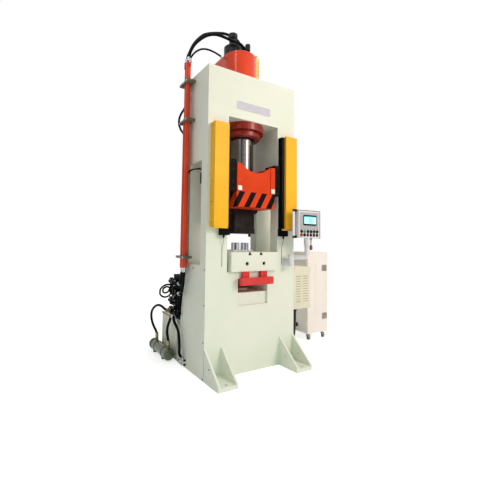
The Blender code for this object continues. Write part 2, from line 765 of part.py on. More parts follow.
def bolster():
    """Table plate with two T-slots, lifting holes front and rear and a hole over the ejector."""
    half = BOLSTER_WIDTH / 2
    plate = box("bolster", (-half, -BOLSTER_HALF_DEPTH, BOLSTER_BOTTOM),
                (half, BOLSTER_HALF_DEPTH, BOLSTER_TOP))
    for x in (-SLOT_PITCH / 2, SLOT_PITCH / 2):
        neck = SLOT_NECK / 2
        foot = SLOT_FOOT_WIDTH / 2
        bottom = BOLSTER_TOP - SLOT_DEPTH
        top = BOLSTER_TOP + OVERLAP
        slot = [(x - foot, bottom), (x + foot, bottom), (x + foot, bottom + SLOT_FOOT_HEIGHT),
                (x + neck, bottom + SLOT_FOOT_HEIGHT), (x + neck, top), (x - neck, top),
                (x - neck, bottom + SLOT_FOOT_HEIGHT), (x - foot, bottom + SLOT_FOOT_HEIGHT)]
        reach = BOLSTER_HALF_DEPTH + OVERLAP
        cut(plate, prism("slot", slot, "Y", -reach, reach))
    for x in (-LIFT_HOLE_SPACING / 2, LIFT_HOLE_SPACING / 2):
        for y in (-BOLSTER_HALF_DEPTH - OVERLAP, BOLSTER_HALF_DEPTH - LIFT_HOLE_DEPTH):
            cut(plate, rod("lift_hole", LIFT_HOLE_RADIUS, (x, y, BOLSTER_BOTTOM + LIFT_HOLE_HEIGHT),
                           LIFT_HOLE_DEPTH + OVERLAP, "Y", 16))
    cut(plate, rod("ejector_hole", EJECTOR_HOLE_RADIUS, (0, 0, BOLSTER_BOTTOM - OVERLAP),
                   BOLSTER_HEIGHT + 2 * OVERLAP, steps=16))
    bevel(plate, BOLSTER_BEVEL)
    frame_paint(plate)
    return plate


def main_cylinder():
    """Turned cylinder: flange under the crown, stepped gland below, barrel up through the crown."""
    top = FRAME_HEIGHT - SEAT
    head = top - CYLINDER_HEAD
    chamber_floor = GLAND_BOTTOM + GLAND_HEIGHT + CHAMBER_FLOOR_RISE
    gland_top = GLAND_BOTTOM + GLAND_HEIGHT
    bore = ROD_RADIUS + RUN
    profile = [(OIL_PORT_RADIUS, top), (BARREL_RADIUS, top), (BARREL_RADIUS, FLANGE_TOP),
               (FLANGE_RADIUS, FLANGE_TOP), (FLANGE_RADIUS, gland_top), (GLAND_RADIUS, gland_top),
               (GLAND_RADIUS, GLAND_BOTTOM + GLAND_CHAMFER), (GLAND_RADIUS - GLAND_CHAMFER,
                                                              GLAND_BOTTOM),
               (bore, GLAND_BOTTOM), (bore, chamber_floor), (CYLINDER_BORE, chamber_floor),
               (CYLINDER_BORE, head), (OIL_PORT_RADIUS, head), (OIL_PORT_RADIUS, top)]
    cylinder = turned("main_cylinder", profile, (0, 0, 0), steps=ROUND)
    red_paint(smooth(cylinder))
    return cylinder


def piston_rod():
    """Chrome rod with its piston, standing on the slide's hub."""
    foot = SLIDE_BOTTOM + SLIDE_FLOOR + SLIDE_HUB_HEIGHT + SEAT
    piston_top = FRAME_HEIGHT - SEAT - CYLINDER_HEAD - PISTON_TOP_GAP
    piston_bottom = piston_top - PISTON_HEIGHT
    piston_radius = CYLINDER_BORE - RUN
    profile = [(0, foot), (ROD_RADIUS, foot), (ROD_RADIUS, piston_bottom),
               (piston_radius, piston_bottom),
               (piston_radius, piston_top), (0, piston_top)]
    piece = turned("piston_rod", profile, (0, 0, 0), steps=ROUND)
    chrome(smooth(piece))
    return piece


def slide():
    """Welded slide: box open at the top, hub for the rod, notched front and rear plates and cheeks."""
    body = box("slide", (-SLIDE_HALF_WIDTH, -SLIDE_HALF_DEPTH, SLIDE_BOTTOM),
               (SLIDE_HALF_WIDTH, SLIDE_HALF_DEPTH, SLIDE_TOP))
    inner = SLIDE_HALF_WIDTH - SLIDE_WALL
    floor = SLIDE_BOTTOM + SLIDE_FLOOR
    cut(body, box("pocket", (-inner, -SLIDE_HALF_DEPTH + SLIDE_WALL, floor),
                  (inner, SLIDE_HALF_DEPTH - SLIDE_WALL, SLIDE_TOP + OVERLAP)))
    half = SLIDE_NOTCH_WIDTH / 2
    radius = (half ** 2 + SLIDE_NOTCH_DEPTH ** 2) / (2 * SLIDE_NOTCH_DEPTH)
    notch_centre = SLIDE_TOP - SLIDE_NOTCH_DEPTH + radius
    cut(body, rod("notch", radius, (0, -SLIDE_HALF_DEPTH - OVERLAP, notch_centre),
                  2 * (SLIDE_HALF_DEPTH + OVERLAP), "Y", 64))
    join(body,
         rod("hub", SLIDE_HUB_RADIUS, (0, 0, floor - OVERLAP), SLIDE_HUB_HEIGHT + OVERLAP, steps=ROUND))
    for side in (-1, 1):
        for face in (-1, 1):
            x_low, x_high = sorted((side * (SLIDE_HALF_WIDTH - CHEEK_WIDTH), side * SLIDE_HALF_WIDTH))
            y_low, y_high = sorted((face * (SLIDE_HALF_DEPTH - OVERLAP),
                                    face * (SLIDE_HALF_DEPTH + CHEEK_PROUD)))
            join(body,
                 box("cheek", (x_low, y_low, SLIDE_BOTTOM + SLIDE_LIP_HEIGHT),
                     (x_high, y_high, SLIDE_TOP)))
    stop_x = SLIDE_HALF_WIDTH - STOP_SIZE / 2 - CHEEK_PROUD
    stop_low = SLIDE_BOTTOM + SLIDE_LIP_HEIGHT + CHEEK_PROUD
    for x in (-stop_x, stop_x):
        join(body, box("stop", (x - STOP_SIZE / 2, -SLIDE_HALF_DEPTH - STOP_PROUD, stop_low),
                       (x + STOP_SIZE / 2, -SLIDE_HALF_DEPTH + OVERLAP, stop_low + STOP_SIZE)))
    red_paint(body)
    return body


def upper_tool():
    """Punch holder under the slide with two bores for the guide pillars."""
    top = SLIDE_BOTTOM - SEAT
    low = top - TOOL_HEIGHT
    head = TOOL_HEAD_WIDTH / 2
    waist = TOOL_WIDTH / 2
    foot = TOOL_FOOT_WIDTH / 2
    foot_top = low + TOOL_FOOT_HEIGHT
    head_low = top - TOOL_HEAD_HEIGHT
    right = [(foot, low), (foot, foot_top), (waist, foot_top), (waist, head_low), (head, head_low),
             (head, top)]
    outline = right + [(-x, z) for x, z in reversed(right)]
    tool = prism("upper_tool", outline, "Y", -TOOL_DEPTH / 2, TOOL_DEPTH / 2)
    for x in (-PILLAR_PITCH / 2, PILLAR_PITCH / 2):
        cut(tool, rod("pillar_bore", PILLAR_RADIUS + PILLAR_CLEARANCE, (x, 0, low - OVERLAP),
                      TOOL_BORE_DEPTH + OVERLAP))
    bevel(tool, TOOL_EDGE)
    black_paint(tool)
    return tool


def die_shoe():
    """Lower die shoe with its two chrome guide pillars."""
    base = BOLSTER_TOP + SEAT
    shoe = box("die_shoe", (-SHOE_WIDTH / 2, -SHOE_DEPTH / 2, base),
               (SHOE_WIDTH / 2, SHOE_DEPTH / 2, base + SHOE_HEIGHT))
    chamfer = PILLAR_CHAMFER
    for x in (-PILLAR_PITCH / 2, PILLAR_PITCH / 2):
        low = base + SHOE_HEIGHT / 2
        height = PILLAR_HEIGHT - SHOE_HEIGHT / 2
        profile = [(0, 0), (PILLAR_RADIUS, 0), (PILLAR_RADIUS, height - chamfer),
                   (PILLAR_RADIUS - chamfer, height), (0, height)]
        join(shoe, turned("pillar", profile, (x, 0, low)))
    chrome(smooth(shoe))
    return shoe


def guide_rail(name, side, face):
    """Guide rail between a column's inner face and the slide, with a lip over the column's edge."""
    inner = SLIDE_HALF_WIDTH + RUN
    outer = JAMB - SEAT
    proud = -FRONT + RAIL_PROUD
    back = -FRONT - COLUMN_DEPTH
    seat = -FRONT + SEAT
    lip = JAMB + RAIL_LIP
    chamfer = RAIL_CHAMFER
    outline = [(inner, back), (outer, back), (outer, seat), (lip, seat), (lip, proud - chamfer),
               (lip - chamfer, proud), (inner + chamfer, proud), (inner, proud - chamfer)]
    outline = [(side * u, face * v) for u, v in outline]
    rail = prism(name, outline, "Z", RAIL_LOW, RAIL_LOW + RAIL_HEIGHT)
    black_paint(rail)
    return rail


def light_curtain(name, side, face):
    """Black curtain column with a shallow groove for its window and a wider shoe at the bottom."""
    low = -FRONT + SEAT
    high = low + CURTAIN_DEPTH
    inner = CURTAIN_INNER + RAIL_LIP + 0.006
    outer = CURTAIN_INNER + CURTAIN_WIDTH
    groove = CURTAIN_GROOVE
    outline = [(inner, low), (outer, low), (outer, high), (outer - groove, high),
               (outer - groove, high - groove),
               (outer - 2 * groove, high - groove), (outer - 2 * groove, high), (inner, high)]
    outline = [(side * u, face * v) for u, v in outline]
    column = prism(name, outline, "Z", CURTAIN_LOW + CURTAIN_SHOE_HEIGHT - OVERLAP,
                   CURTAIN_LOW + CURTAIN_HEIGHT)
    x_low, x_high = sorted((side * (inner - CURTAIN_SHOE_PROUD), side * outer))
    y_low, y_high = sorted((face * low, face * high))
    join(column,
         box("shoe", (x_low, y_low, CURTAIN_LOW), (x_high, y_high, CURTAIN_LOW + CURTAIN_SHOE_HEIGHT)))
    black_paint(column)
    return column


def side_cover(name, side):
    """Bent sheet cover: front face, outer flange back to the frame, short inner flange, closed ends."""
    seat = FRONT - SEAT
    front = FRONT - COVER_DEPTH
    curtain = FRONT - SEAT - CURTAIN_DEPTH - SEAT
    outer = COVER_INNER + COVER_WIDTH
    block = box(name, (COVER_INNER, front, COVER_LOW), (outer, seat, COVER_LOW + COVER_HEIGHT))
    sheet = COVER_SHEET
    cut(block, box("hollow", (COVER_INNER + sheet, front + sheet, COVER_LOW + sheet),
                   (outer - sheet, seat + OVERLAP, COVER_LOW + COVER_HEIGHT - sheet)))
    column_side = CURTAIN_INNER + CURTAIN_WIDTH + SEAT
    cut(block, box("column_gap", (COVER_INNER - OVERLAP, curtain, COVER_LOW - OVERLAP),
                   (column_side, seat + OVERLAP, COVER_LOW + COVER_HEIGHT + OVERLAP)))
    if side < 0:
        for vertex in block.data.vertices:
            vertex.co.x = -vertex.co.x
        block.data.flip_normals()
    yellow_paint(block)
    return block


def riser(name, y, upper_radius):
    """Riser pipe with a union nut at each end; the rear one steps down above the middle clamp."""
    nut = RISER_NUT_RADIUS
    step = RISER_STEP - RISER_LOW
    profile = [(0, 0), (nut, 0), (nut, RISER_NUT_HEIGHT), (RISER_RADIUS, RISER_NUT_HEIGHT),
               (RISER_RADIUS, step),
               (upper_radius, step + RISER_RADIUS - upper_radius),
               (upper_radius, RISER_LENGTH - RISER_NUT_HEIGHT), (nut, RISER_LENGTH - RISER_NUT_HEIGHT),
               (nut, RISER_LENGTH), (0, RISER_LENGTH)]
    pipe = turned(name, profile, (RISER_X, y, RISER_LOW))
    if y == RISER_FRONT_Y:
        low = RISER_TOP - RISER_NUT_HEIGHT
        join(pipe,
             rod("port", PILOT_PORT_RADIUS, (RISER_X, y - PILOT_PORT_REACH, low), RISER_NUT_HEIGHT / 2,
                       steps=16),
             rod("port_elbow", PILOT_PORT_RADIUS * 0.8,
                 (RISER_X, y - PILOT_PORT_REACH, low + PILOT_PORT_RADIUS),
                 PILOT_PORT_REACH, "Y", 16))
    red_paint(smooth(pipe))
    return pipe


def prefill_tank():
    """Tank with a round front and straight sides that run back past the crown."""
    half = TANK_RADIUS
    arc = [(half * math.cos(math.radians(angle)), TANK_CENTRE_Y + half * math.sin(math.radians(angle)))
           for angle in range(180, 361, 6)]
    outline = arc + [(half, TANK_REAR_Y), (-half, TANK_REAR_Y)]
    tank = prism("prefill_tank", outline, "Z", TANK_BOTTOM, TANK_TOP)
    bevel(tank, TANK_EDGE)
    red_paint(smooth(tank))
    return tank


def prefill_valve():
    """Bottle-shaped prefill valve on the tank: wide base, tapering neck, round head."""
    base = VALVE_BASE_HEIGHT
    neck = base + VALVE_TAPER
    head = neck + VALVE_NECK_LENGTH + VALVE_ROUNDING
    top = head + VALVE_HEAD_LENGTH + VALVE_ROUNDING
    profile = [(0, 0), (VALVE_RADIUS, 0), (VALVE_RADIUS, base), (VALVE_RADIUS * 0.78, base),
               (VALVE_RADIUS * 0.60, base + VALVE_TAPER / 3), (VALVE_NECK_RADIUS, neck),
               (VALVE_NECK_RADIUS, neck + VALVE_NECK_LENGTH), (VALVE_HEAD_RADIUS, head),
               (VALVE_HEAD_RADIUS, head + VALVE_HEAD_LENGTH), (VALVE_HEAD_RADIUS * 0.7, top), (0, top)]
    valve = turned("prefill_valve", profile, (VALVE_X, VALVE_Y, TANK_TOP + SEAT))
    for quarter in range(4):
        angle = math.radians(45 + 90 * quarter)
        x = VALVE_X + VALVE_SCREW_CIRCLE * math.cos(angle)
        y = VALVE_Y + VALVE_SCREW_CIRCLE * math.sin(angle)
        join(valve, rod("cap_screw", VALVE_SCREW_RADIUS, (x, y, TANK_TOP + base - OVERLAP),
                        VALVE_SCREW_HEIGHT, steps=12))
    black_paint(smooth(valve))
    return valve


def pilot_valve():
    """Relief valve block with its coil on top and a pilot pipe towards the prefill valve."""
    half = PILOT_SIZE / 2
    low = TANK_TOP + SEAT
    block_top = low + PILOT_HEIGHT * PILOT_BLOCK_SHARE
    coil_low = low + PILOT_HEIGHT * (1 - PILOT_COIL_SHARE)
    pipe_z = (coil_low + low + PILOT_HEIGHT) / 2
    block = box("pilot_valve", (PILOT_X - half, PILOT_Y - half, low),
                (PILOT_X + half, PILOT_Y + half, block_top))
    join(block, rod("stem", half * 0.55, (PILOT_X, PILOT_Y, block_top - OVERLAP),
                    coil_low - block_top + 2 * OVERLAP, steps=16),
         rod("coil", half * 0.95, (PILOT_X, PILOT_Y, coil_low), PILOT_HEIGHT * PILOT_COIL_SHARE,
             steps=16),
         rod("pilot_pipe", PILOT_PIPE_RADIUS, (PILOT_X - PILOT_PIPE_REACH, PILOT_Y, pipe_z),
             PILOT_PIPE_REACH - OVERLAP, "X", 12))
    black_paint(smooth(block))
    return block


def gauge_column():
    """Yellow gauge column beside the tank, with its dark breather knob."""
    left = TANK_RADIUS + GAUGE_GAP
    column = box("gauge_column", (left, GAUGE_Y - GAUGE_SIZE / 2, TANK_BOTTOM),
                 (left + GAUGE_SIZE, GAUGE_Y + GAUGE_SIZE / 2, TANK_BOTTOM + GAUGE_HEIGHT))
    top = TANK_BOTTOM + GAUGE_HEIGHT
    knob = [(0, -OVERLAP), (0.009, -OVERLAP), (0.009, 0.018), (GAUGE_KNOB_RADIUS, 0.022),
            (GAUGE_KNOB_RADIUS, GAUGE_KNOB_HEIGHT - 0.006), (GAUGE_KNOB_RADIUS * 0.6, GAUGE_KNOB_HEIGHT),
            (0, GAUGE_KNOB_HEIGHT)]
    join(column, turned("knob", knob, (left + GAUGE_SIZE / 2, GAUGE_Y, top), steps=16))
    yellow_paint(column)
    return column


def ejector_cylinder():
    """Short cylinder let into the bed, with a collar on the bay floor."""
    collar = BAY_FLOOR + SEAT
    bottom = BAY_FLOOR - EJECTOR_DEPTH
    bore = EJECTOR_ROD_RADIUS + RUN
    floor = collar + EJECTOR_COLLAR_HEIGHT - EJECTOR_ROD_DEPTH - EJECTOR_TRAVEL - OVERLAP
    profile = [(0, bottom), (EJECTOR_RADIUS, bottom), (EJECTOR_RADIUS, collar),
               (EJECTOR_COLLAR_RADIUS, collar),
               (EJECTOR_COLLAR_RADIUS, collar + EJECTOR_COLLAR_HEIGHT), (bore,
                                                                         collar + EJECTOR_COLLAR_HEIGHT),
               (bore, floor), (0, floor)]
    piece = turned("ejector_cylinder", profile, (0, 0, 0))
    black_paint(smooth(piece))
    return piece


def ejector_yoke():
    """Ejector rod, yoke plate out through the bay, rounded crossbar in front and two lugs on it."""
    yoke_front = FRONT - CROSSBAR_REACH + CROSSBAR_DEPTH / 2
    half = YOKE_WIDTH / 2
    plate = box("ejector_yoke", (-half, yoke_front, YOKE_BOTTOM),
                (half, EJECTOR_COLLAR_RADIUS, YOKE_BOTTOM + YOKE_THICKNESS))
    middle = yoke_front
    radius = CROSSBAR_DEPTH / 2
    straight = CROSSBAR_LENGTH / 2 - radius
    ends = [(straight + radius * math.sin(math.radians(a)), middle - radius * math.cos(math.radians(a)))
            for a in range(0, 181, 20)]
    ends += [(-straight - radius * math.sin(math.radians(a)),
              middle + radius * math.cos(math.radians(a)))
             for a in range(0, 181, 20)]
    join(plate, prism("crossbar", ends, "Z", CROSSBAR_BOTTOM, CROSSBAR_BOTTOM + CROSSBAR_HEIGHT))
    lug_top = BED_HEIGHT - LUG_GAP
    for side in (-1, 1):
        low, high = sorted((side * LUG_INNER, side * (LUG_INNER + LUG_WIDTH)))
        join(plate,
             box("lug", (low, FRONT - LUG_DEPTH - LUG_CLEARANCE, CROSSBAR_BOTTOM + CROSSBAR_HEIGHT / 2),
                        (high, FRONT - LUG_CLEARANCE, lug_top)))
        hole_low = (side * (straight - BAR_HOLE_INSET), middle, CROSSBAR_BOTTOM - OVERLAP)
        cut(plate,
            rod("bar_hole", CROSSBAR_HOLE_RADIUS, hole_low, CROSSBAR_HEIGHT + 2 * OVERLAP, steps=16))
    rod_bottom = BAY_FLOOR + EJECTOR_COLLAR_HEIGHT - EJECTOR_ROD_DEPTH
    join(plate,
         rod("ejector_rod", EJECTOR_ROD_RADIUS, (0, 0, rod_bottom), YOKE_BOTTOM + OVERLAP - rod_bottom))
    paint(plate, "signal_red_enamel", (0.75, 0.05, 0.04), 0.40, 0.0)
    return plate


def power_tank():
    """Oil tank behind the frame with a lid rim and pressed ribs on its left side."""
    right = PLANT_LEFT + PLANT_WIDTH
    rear = PLANT_FRONT + PLANT_DEPTH
    lid_low = PLANT_HEIGHT - PLANT_LID
    tank = box("power_tank", (PLANT_LEFT, PLANT_FRONT, 0), (right, rear, lid_low))
    for number in (1, 2, 3):
        y = PLANT_FRONT + number * PLANT_DEPTH / 4
        cut(tank, box("pressing", (PLANT_LEFT - OVERLAP, y - PRESSING_WIDTH / 2, PRESSING_MARGIN),
                      (PLANT_LEFT + PRESSING_DEPTH, y + PRESSING_WIDTH / 2,
                       PLANT_HEIGHT - PRESSING_MARGIN)))
    join(tank, box("lid", (PLANT_LEFT - PLANT_RIB, PLANT_FRONT, lid_low - OVERLAP / 2),
                   (right + PLANT_RIB, rear + PLANT_RIB, PLANT_HEIGHT)))
    frame_paint(tank)
    return tank


def pump_motor():
    """Foot-mounted motor with cooling fins, bell housing and pump on the tank lid."""
    axis_z = PLANT_TOP + MOTOR_LIFT
    left = MOTOR_X - MOTOR_LENGTH / 2
    profile = list(MOTOR_SHIELD) + [(MOTOR_RADIUS, MOTOR_LENGTH)]
    profile += [(radius, MOTOR_LENGTH + along) for radius, along in PUMP_PROFILE]
    motor = turned("pump_motor", profile, (left, MOTOR_Y, axis_z), "X")
    for number in range(FIN_COUNT):
        angle = math.radians(FIN_ARC * (number / (FIN_COUNT - 1) - 0.5) + 180)
        direction = Vector((0, math.sin(angle), math.cos(angle)))
        fin = box("fin", (left + FIN_START, -FIN_WIDTH / 2, MOTOR_RADIUS - OVERLAP),
                  (left + MOTOR_LENGTH - FIN_END, FIN_WIDTH / 2, MOTOR_RADIUS + FIN_HEIGHT))
        turn = Matrix.Rotation(-math.atan2(direction.y, direction.z), 4, "X")
        fin.data.transform(Matrix.Translation((0, MOTOR_Y, axis_z)) @ turn)
        join(motor, fin)
    for x in (left + MOTOR_FOOT_INSETS[0], left + MOTOR_LENGTH - MOTOR_FOOT_INSETS[1]):
        join(motor, box("foot", (x - MOTOR_FOOT_LENGTH / 2, MOTOR_Y - MOTOR_FOOT_REACH, PLANT_TOP),
                        (x + MOTOR_FOOT_LENGTH / 2, MOTOR_Y + MOTOR_FOOT_REACH,
                         PLANT_TOP + MOTOR_FOOT_HEIGHT)))
    paint(motor, "motor_grey", (0.10, 0.12, 0.14), 0.5, 0.2)
    return smooth(motor)


def module_z(number):
    """Middle height of a stacked valve on the manifold."""
    return PLANT_TOP + MODULE_FIRST + number * MODULE_PITCH


def valve_manifold():
    """Manifold block with stacked valves, their coils, two feed ports in front and a return port."""
    low = PLANT_TOP
    right = MANIFOLD_LEFT + MANIFOLD_WIDTH
    rear = MANIFOLD_FRONT + MANIFOLD_DEPTH
    front = MANIFOLD_FRONT + MODULE_INSET
    coil_x = MODULE_X + MODULE_REACH / 2
    block = box("valve_manifold", (MANIFOLD_LEFT, MANIFOLD_FRONT, low),
                (right, rear, low + MANIFOLD_HEIGHT))
    for number in range(MODULE_COUNT):
        z = module_z(number)
        join(block, box("valve", (MODULE_X, front, z - MODULE_HEIGHT / 2),
                        (MANIFOLD_LEFT + OVERLAP, front + MODULE_DEPTH, z + MODULE_HEIGHT / 2)),
             rod("coil", COIL_RADIUS, (coil_x, front + MODULE_DEPTH - OVERLAP, z), REAR_COIL_LENGTH, "Y",
                 16))
        if number < 2:
            join(block, rod("coil", COIL_RADIUS, (coil_x, front - FRONT_COIL_LENGTH, z),
                            FRONT_COIL_LENGTH + OVERLAP, "Y", 16))
        else:
            join(block, rod("feed_port", FEED_PORT_RADIUS, (FEED_PORT_X, front - FEED_PORT_LENGTH, z),
                            FEED_PORT_LENGTH + OVERLAP, "Y", 16))
    join(block, rod("return_port", COOLER_PORT_RADIUS,
                    (MODULE_X - RETURN_PORT_REACH, front + RETURN_PORT_ALONG,
                     module_z(0) + RETURN_PORT_LIFT),
                    RETURN_PORT_REACH + OVERLAP, "X", 16))
    black_paint(smooth(block))
    return block


def oil_cooler():
    """Shell-and-tube cooler: ringed barrel with domed ends, two ports on top and two saddles."""
    ring = COOLER_RING_RADIUS
    shell = COOLER_RADIUS
    band_end = COOLER_DOME + COOLER_BAND
    ring_start = COOLER_RING + COOLER_STEP
    ring_end = ring_start + COOLER_RING_LENGTH
    half = [(0, 0), (ring * 0.45, COOLER_DOME / 9), (ring * 0.78, COOLER_DOME * 0.4),
            (ring, COOLER_DOME),
            (ring, band_end), (shell, band_end + COOLER_STEP), (shell, COOLER_RING),
            (ring * 0.97, ring_start), (ring * 0.97, ring_end), (shell, ring_end + COOLER_STEP)]
    profile = half + [(radius, COOLER_LENGTH - along) for radius, along in reversed(half)]
    cooler = turned("oil_cooler", profile, (COOLER_X, COOLER_LOW_Y, COOLER_AXIS_Z), "Y")
    for along in (COOLER_NEAR_PORT, COOLER_FAR_PORT):
        join(cooler, rod("port", COOLER_PORT_RADIUS, (COOLER_X, COOLER_LOW_Y + along, COOLER_AXIS_Z),
                         COOLER_PORT_HEIGHT, steps=16))
    half_w = COOLER_SADDLE_WIDTH / 2
    half_l = COOLER_SADDLE_LENGTH / 2
    for along in (COOLER_SADDLE, COOLER_LENGTH - COOLER_SADDLE):
        y = COOLER_LOW_Y + along
        join(cooler, box("saddle", (COOLER_X - half_w, y - half_l, 0),
                         (COOLER_X + half_w, y + half_l, COOLER_AXIS_Z - COOLER_RADIUS / 2)))
    paint(cooler, "olive_enamel", (0.07, 0.09, 0.045), 0.45, 0.0)
    return smooth(cooler)


def louvre_box():
    """Sheet box on the frame's right side with two columns of pressed louvres."""
    left = SIDE + SEAT
    right = left + LOUVRE_BOX_WIDTH
    top = LOUVRE_BOX_LOW + LOUVRE_BOX_HEIGHT
    body = box("louvre_box", (left, FRONT, LOUVRE_BOX_LOW), (right, FRONT + LOUVRE_BOX_DEPTH, top))
    first = LOUVRE_BOX_LOW + LOUVRE_FIRST
    teeth = [(FRONT + OVERLAP, first + LOUVRE_COUNT * LOUVRE_PITCH)]
    teeth.append((FRONT + OVERLAP, first))
    for number in range(LOUVRE_COUNT):
        z = first + number * LOUVRE_PITCH
        teeth += [(FRONT - LOUVRE_PROUD, z), (FRONT + 0.001, z + LOUVRE_PITCH * 0.6),
                  (FRONT + 0.001, z + LOUVRE_PITCH * 0.98)]
    for low, high in LOUVRE_COLUMNS:
        join(body, prism("louvres", teeth, "X", left + low, left + high))
    frame_paint(body)
    return body


def cabinet_body():
    """Cabinet shell, open at the front, with a mounting plate, devices and two fixed rear caster forks."""
    right = CABINET_LEFT + CABINET_WIDTH
    rear = CABINET_FRONT + CABINET_DEPTH
    top = CABINET_LOW + CABINET_HEIGHT
    wall = CABINET_WALL
    inner_rear = rear - wall
    plate_front = inner_rear - PLATE_STAND_OFF
    body = box("cabinet_body", (CABINET_LEFT, BODY_FRONT, CABINET_LOW), (right, rear, top))
    cut(body, box("inside", (CABINET_LEFT + wall, BODY_FRONT - OVERLAP, CABINET_LOW + wall),
                  (right - wall, inner_rear, top - wall)))
    join(body,
         box("mounting_plate", (CABINET_LEFT + PLATE_SIDE_GAP, plate_front, CABINET_LOW + PLATE_END_GAP),
                   (right - PLATE_SIDE_GAP, inner_rear + wall / 2, top - PLATE_END_GAP)))
    for row, height in enumerate(DEVICE_HEIGHTS):
        z = CABINET_LOW + DEVICE_FIRST + row * DEVICE_PITCH
        join(body, box("devices", (CABINET_LEFT + DEVICE_SIDE_GAP, inner_rear - DEVICE_REACH, z),
                       (right - DEVICE_SIDE_GAP, plate_front + wall / 2, z + height)))
    for x in CASTER_COLUMNS:
        join(body, caster_fork("rear_fork", x, rear - CASTER_INSET, CABINET_LOW + wall / 2))
    for z in HINGE_HEIGHTS:
        join(body, rod("hinge_post", HINGE_RADIUS, (HINGE_X, HINGE_Y, z), HINGE_LENGTH, steps=12),
             box("hinge_leaf", (HINGE_X, HINGE_Y - HINGE_LEAF / 2, z),
                 (CABINET_LEFT + wall / 2, HINGE_Y + HINGE_LEAF / 2, z + HINGE_LENGTH)))
    cabinet_paint(body)
    return body


def cabinet_door():
    """Flat door with two vent panels, a seam groove and a flush lock."""
    right = CABINET_LEFT + CABINET_WIDTH
    top = CABINET_LOW + CABINET_HEIGHT
    back = CABINET_FRONT + DOOR_THICKNESS
    door = box("cabinet_door", (CABINET_LEFT, CABINET_FRONT, CABINET_LOW), (right, back, top))
    groove = CABINET_LOW + SEAM_HEIGHT
    cut(door, box("seam", (CABINET_LEFT - OVERLAP, CABINET_FRONT - OVERLAP, groove),
                  (right + OVERLAP, CABINET_FRONT + SEAM_DEPTH, groove + SEAM_WIDTH)))
    vent_right = right - VENT_INSET
    for height in VENT_HEIGHTS:
        for slot in range(VENT_SLOTS):
            z = CABINET_LOW + height + slot * VENT_PITCH
            cut(door, box("vent", (vent_right - VENT_LENGTH, CABINET_FRONT - OVERLAP, z),
                          (vent_right, back + OVERLAP, z + VENT_SLOT)))
    lock_low = CABINET_LOW + LOCK_HEIGHT
    cut(door, box("lock", (right - LOCK_INSET - LOCK_WIDTH, CABINET_FRONT - OVERLAP, lock_low),
                  (right - LOCK_INSET, CABINET_FRONT + LOCK_DEPTH, lock_low + LOCK_LENGTH)))
    for z in HINGE_HEIGHTS:
        low = z + HINGE_LENGTH + SEAT
        join(door, box("hinge_leaf", (HINGE_X - HINGE_LEAF / 2, back - HINGE_LEAF, low),
                       (CABINET_LEFT + OVERLAP / 2, back, low + HINGE_LENGTH)),
             box("hinge_arm", (HINGE_X - HINGE_LEAF / 2, back - HINGE_LEAF / 2, low),
                 (HINGE_X + HINGE_LEAF / 2, HINGE_Y, low + HINGE_LENGTH)),
             rod("hinge_knuckle", HINGE_RADIUS, (HINGE_X, HINGE_Y, low), HINGE_LENGTH, steps=12))
    cabinet_paint(door)
    return door


def caster_fork(name, x, y, top):
    """Caster fork with swivel boss, two cheeks and an axle; it trails towards +X."""
    cheek_gap = WHEEL_WIDTH / 2 + FORK_GAP
    outer = cheek_gap + FORK_PLATE
    crown_low = 2 * WHEEL_RADIUS + FORK_CLEARANCE
    crown_middle = crown_low + FORK_CROWN / 2
    fork = box(name, (x - FORK_HALF_WIDTH, y - outer, crown_low),
               (x + FORK_TRAIL + FORK_HALF_WIDTH, y + outer, crown_low + FORK_CROWN))
    axle_x = x + FORK_TRAIL
    foot_z = WHEEL_RADIUS - FORK_FOOT
    for side in (-1, 1):
        low, high = sorted((y + side * cheek_gap, y + side * outer))
        cheek = [(axle_x - FORK_FOOT, foot_z), (axle_x + FORK_FOOT, foot_z),
                 (axle_x + FORK_HALF_WIDTH, crown_middle), (x - FORK_HALF_WIDTH, crown_middle)]
        join(fork, prism("cheek", cheek, "Y", low, high))
    join(fork, rod("boss", FORK_BOSS_RADIUS, (x, y, crown_middle), top - crown_middle, steps=16),
         rod("axle", AXLE_RADIUS, (axle_x, y - cheek_gap - FORK_PLATE / 2, WHEEL_RADIUS),
             2 * cheek_gap + FORK_PLATE, "Y", 12))
    paint(fork, "zinc_plate", (0.55, 0.55, 0.56), 0.35, 0.9)
    return fork


def caster_wheel(name, x, y):
    """Grey caster wheel with a bore for its axle and a slightly crowned tread."""
    bore = AXLE_RADIUS + RUN
    half = WHEEL_WIDTH / 2
    edge = WHEEL_RADIUS * 0.9
    profile = [(bore, 0), (edge, 0), (WHEEL_RADIUS, half * 0.5), (WHEEL_RADIUS, half * 1.5),
               (edge, WHEEL_WIDTH), (bore, WHEEL_WIDTH), (bore, 0)]
    wheel = turned(name, profile, (x + FORK_TRAIL, y - half, WHEEL_RADIUS), "Y")
    set_origin(wheel, (x + FORK_TRAIL, y, WHEEL_RADIUS))
    paint(wheel, "grey_rubber", (0.12, 0.12, 0.12), 0.6, 0.0)
    return smooth(wheel)


def pendant_bracket():
    """Cast bracket: wall plate, stub and vertical boss for the arm's pivot."""
    half_w = BRACKET_PLATE_WIDTH / 2
    half_h = BRACKET_PLATE_HEIGHT / 2
    seat = FRONT - SEAT
    plate = box("pendant_bracket",
                (PIVOT_X - half_w, seat - BRACKET_PLATE_THICKNESS, BRACKET_Z - half_h),
                (PIVOT_X + half_w, seat, BRACKET_Z + half_h))
    boss_low = BRACKET_Z - BRACKET_BOSS_RADIUS
    join(plate,
         rod("stub", BRACKET_STUB_RADIUS, (PIVOT_X, PIVOT_Y, BRACKET_Z - 0.004), PIVOT_REACH - OVERLAP,
             "Y"),
         rod("boss", BRACKET_BOSS_RADIUS, (PIVOT_X, PIVOT_Y, boss_low), BRACKET_BOSS_TOP - boss_low))
    cast_aluminium(smooth(plate))
    return plate


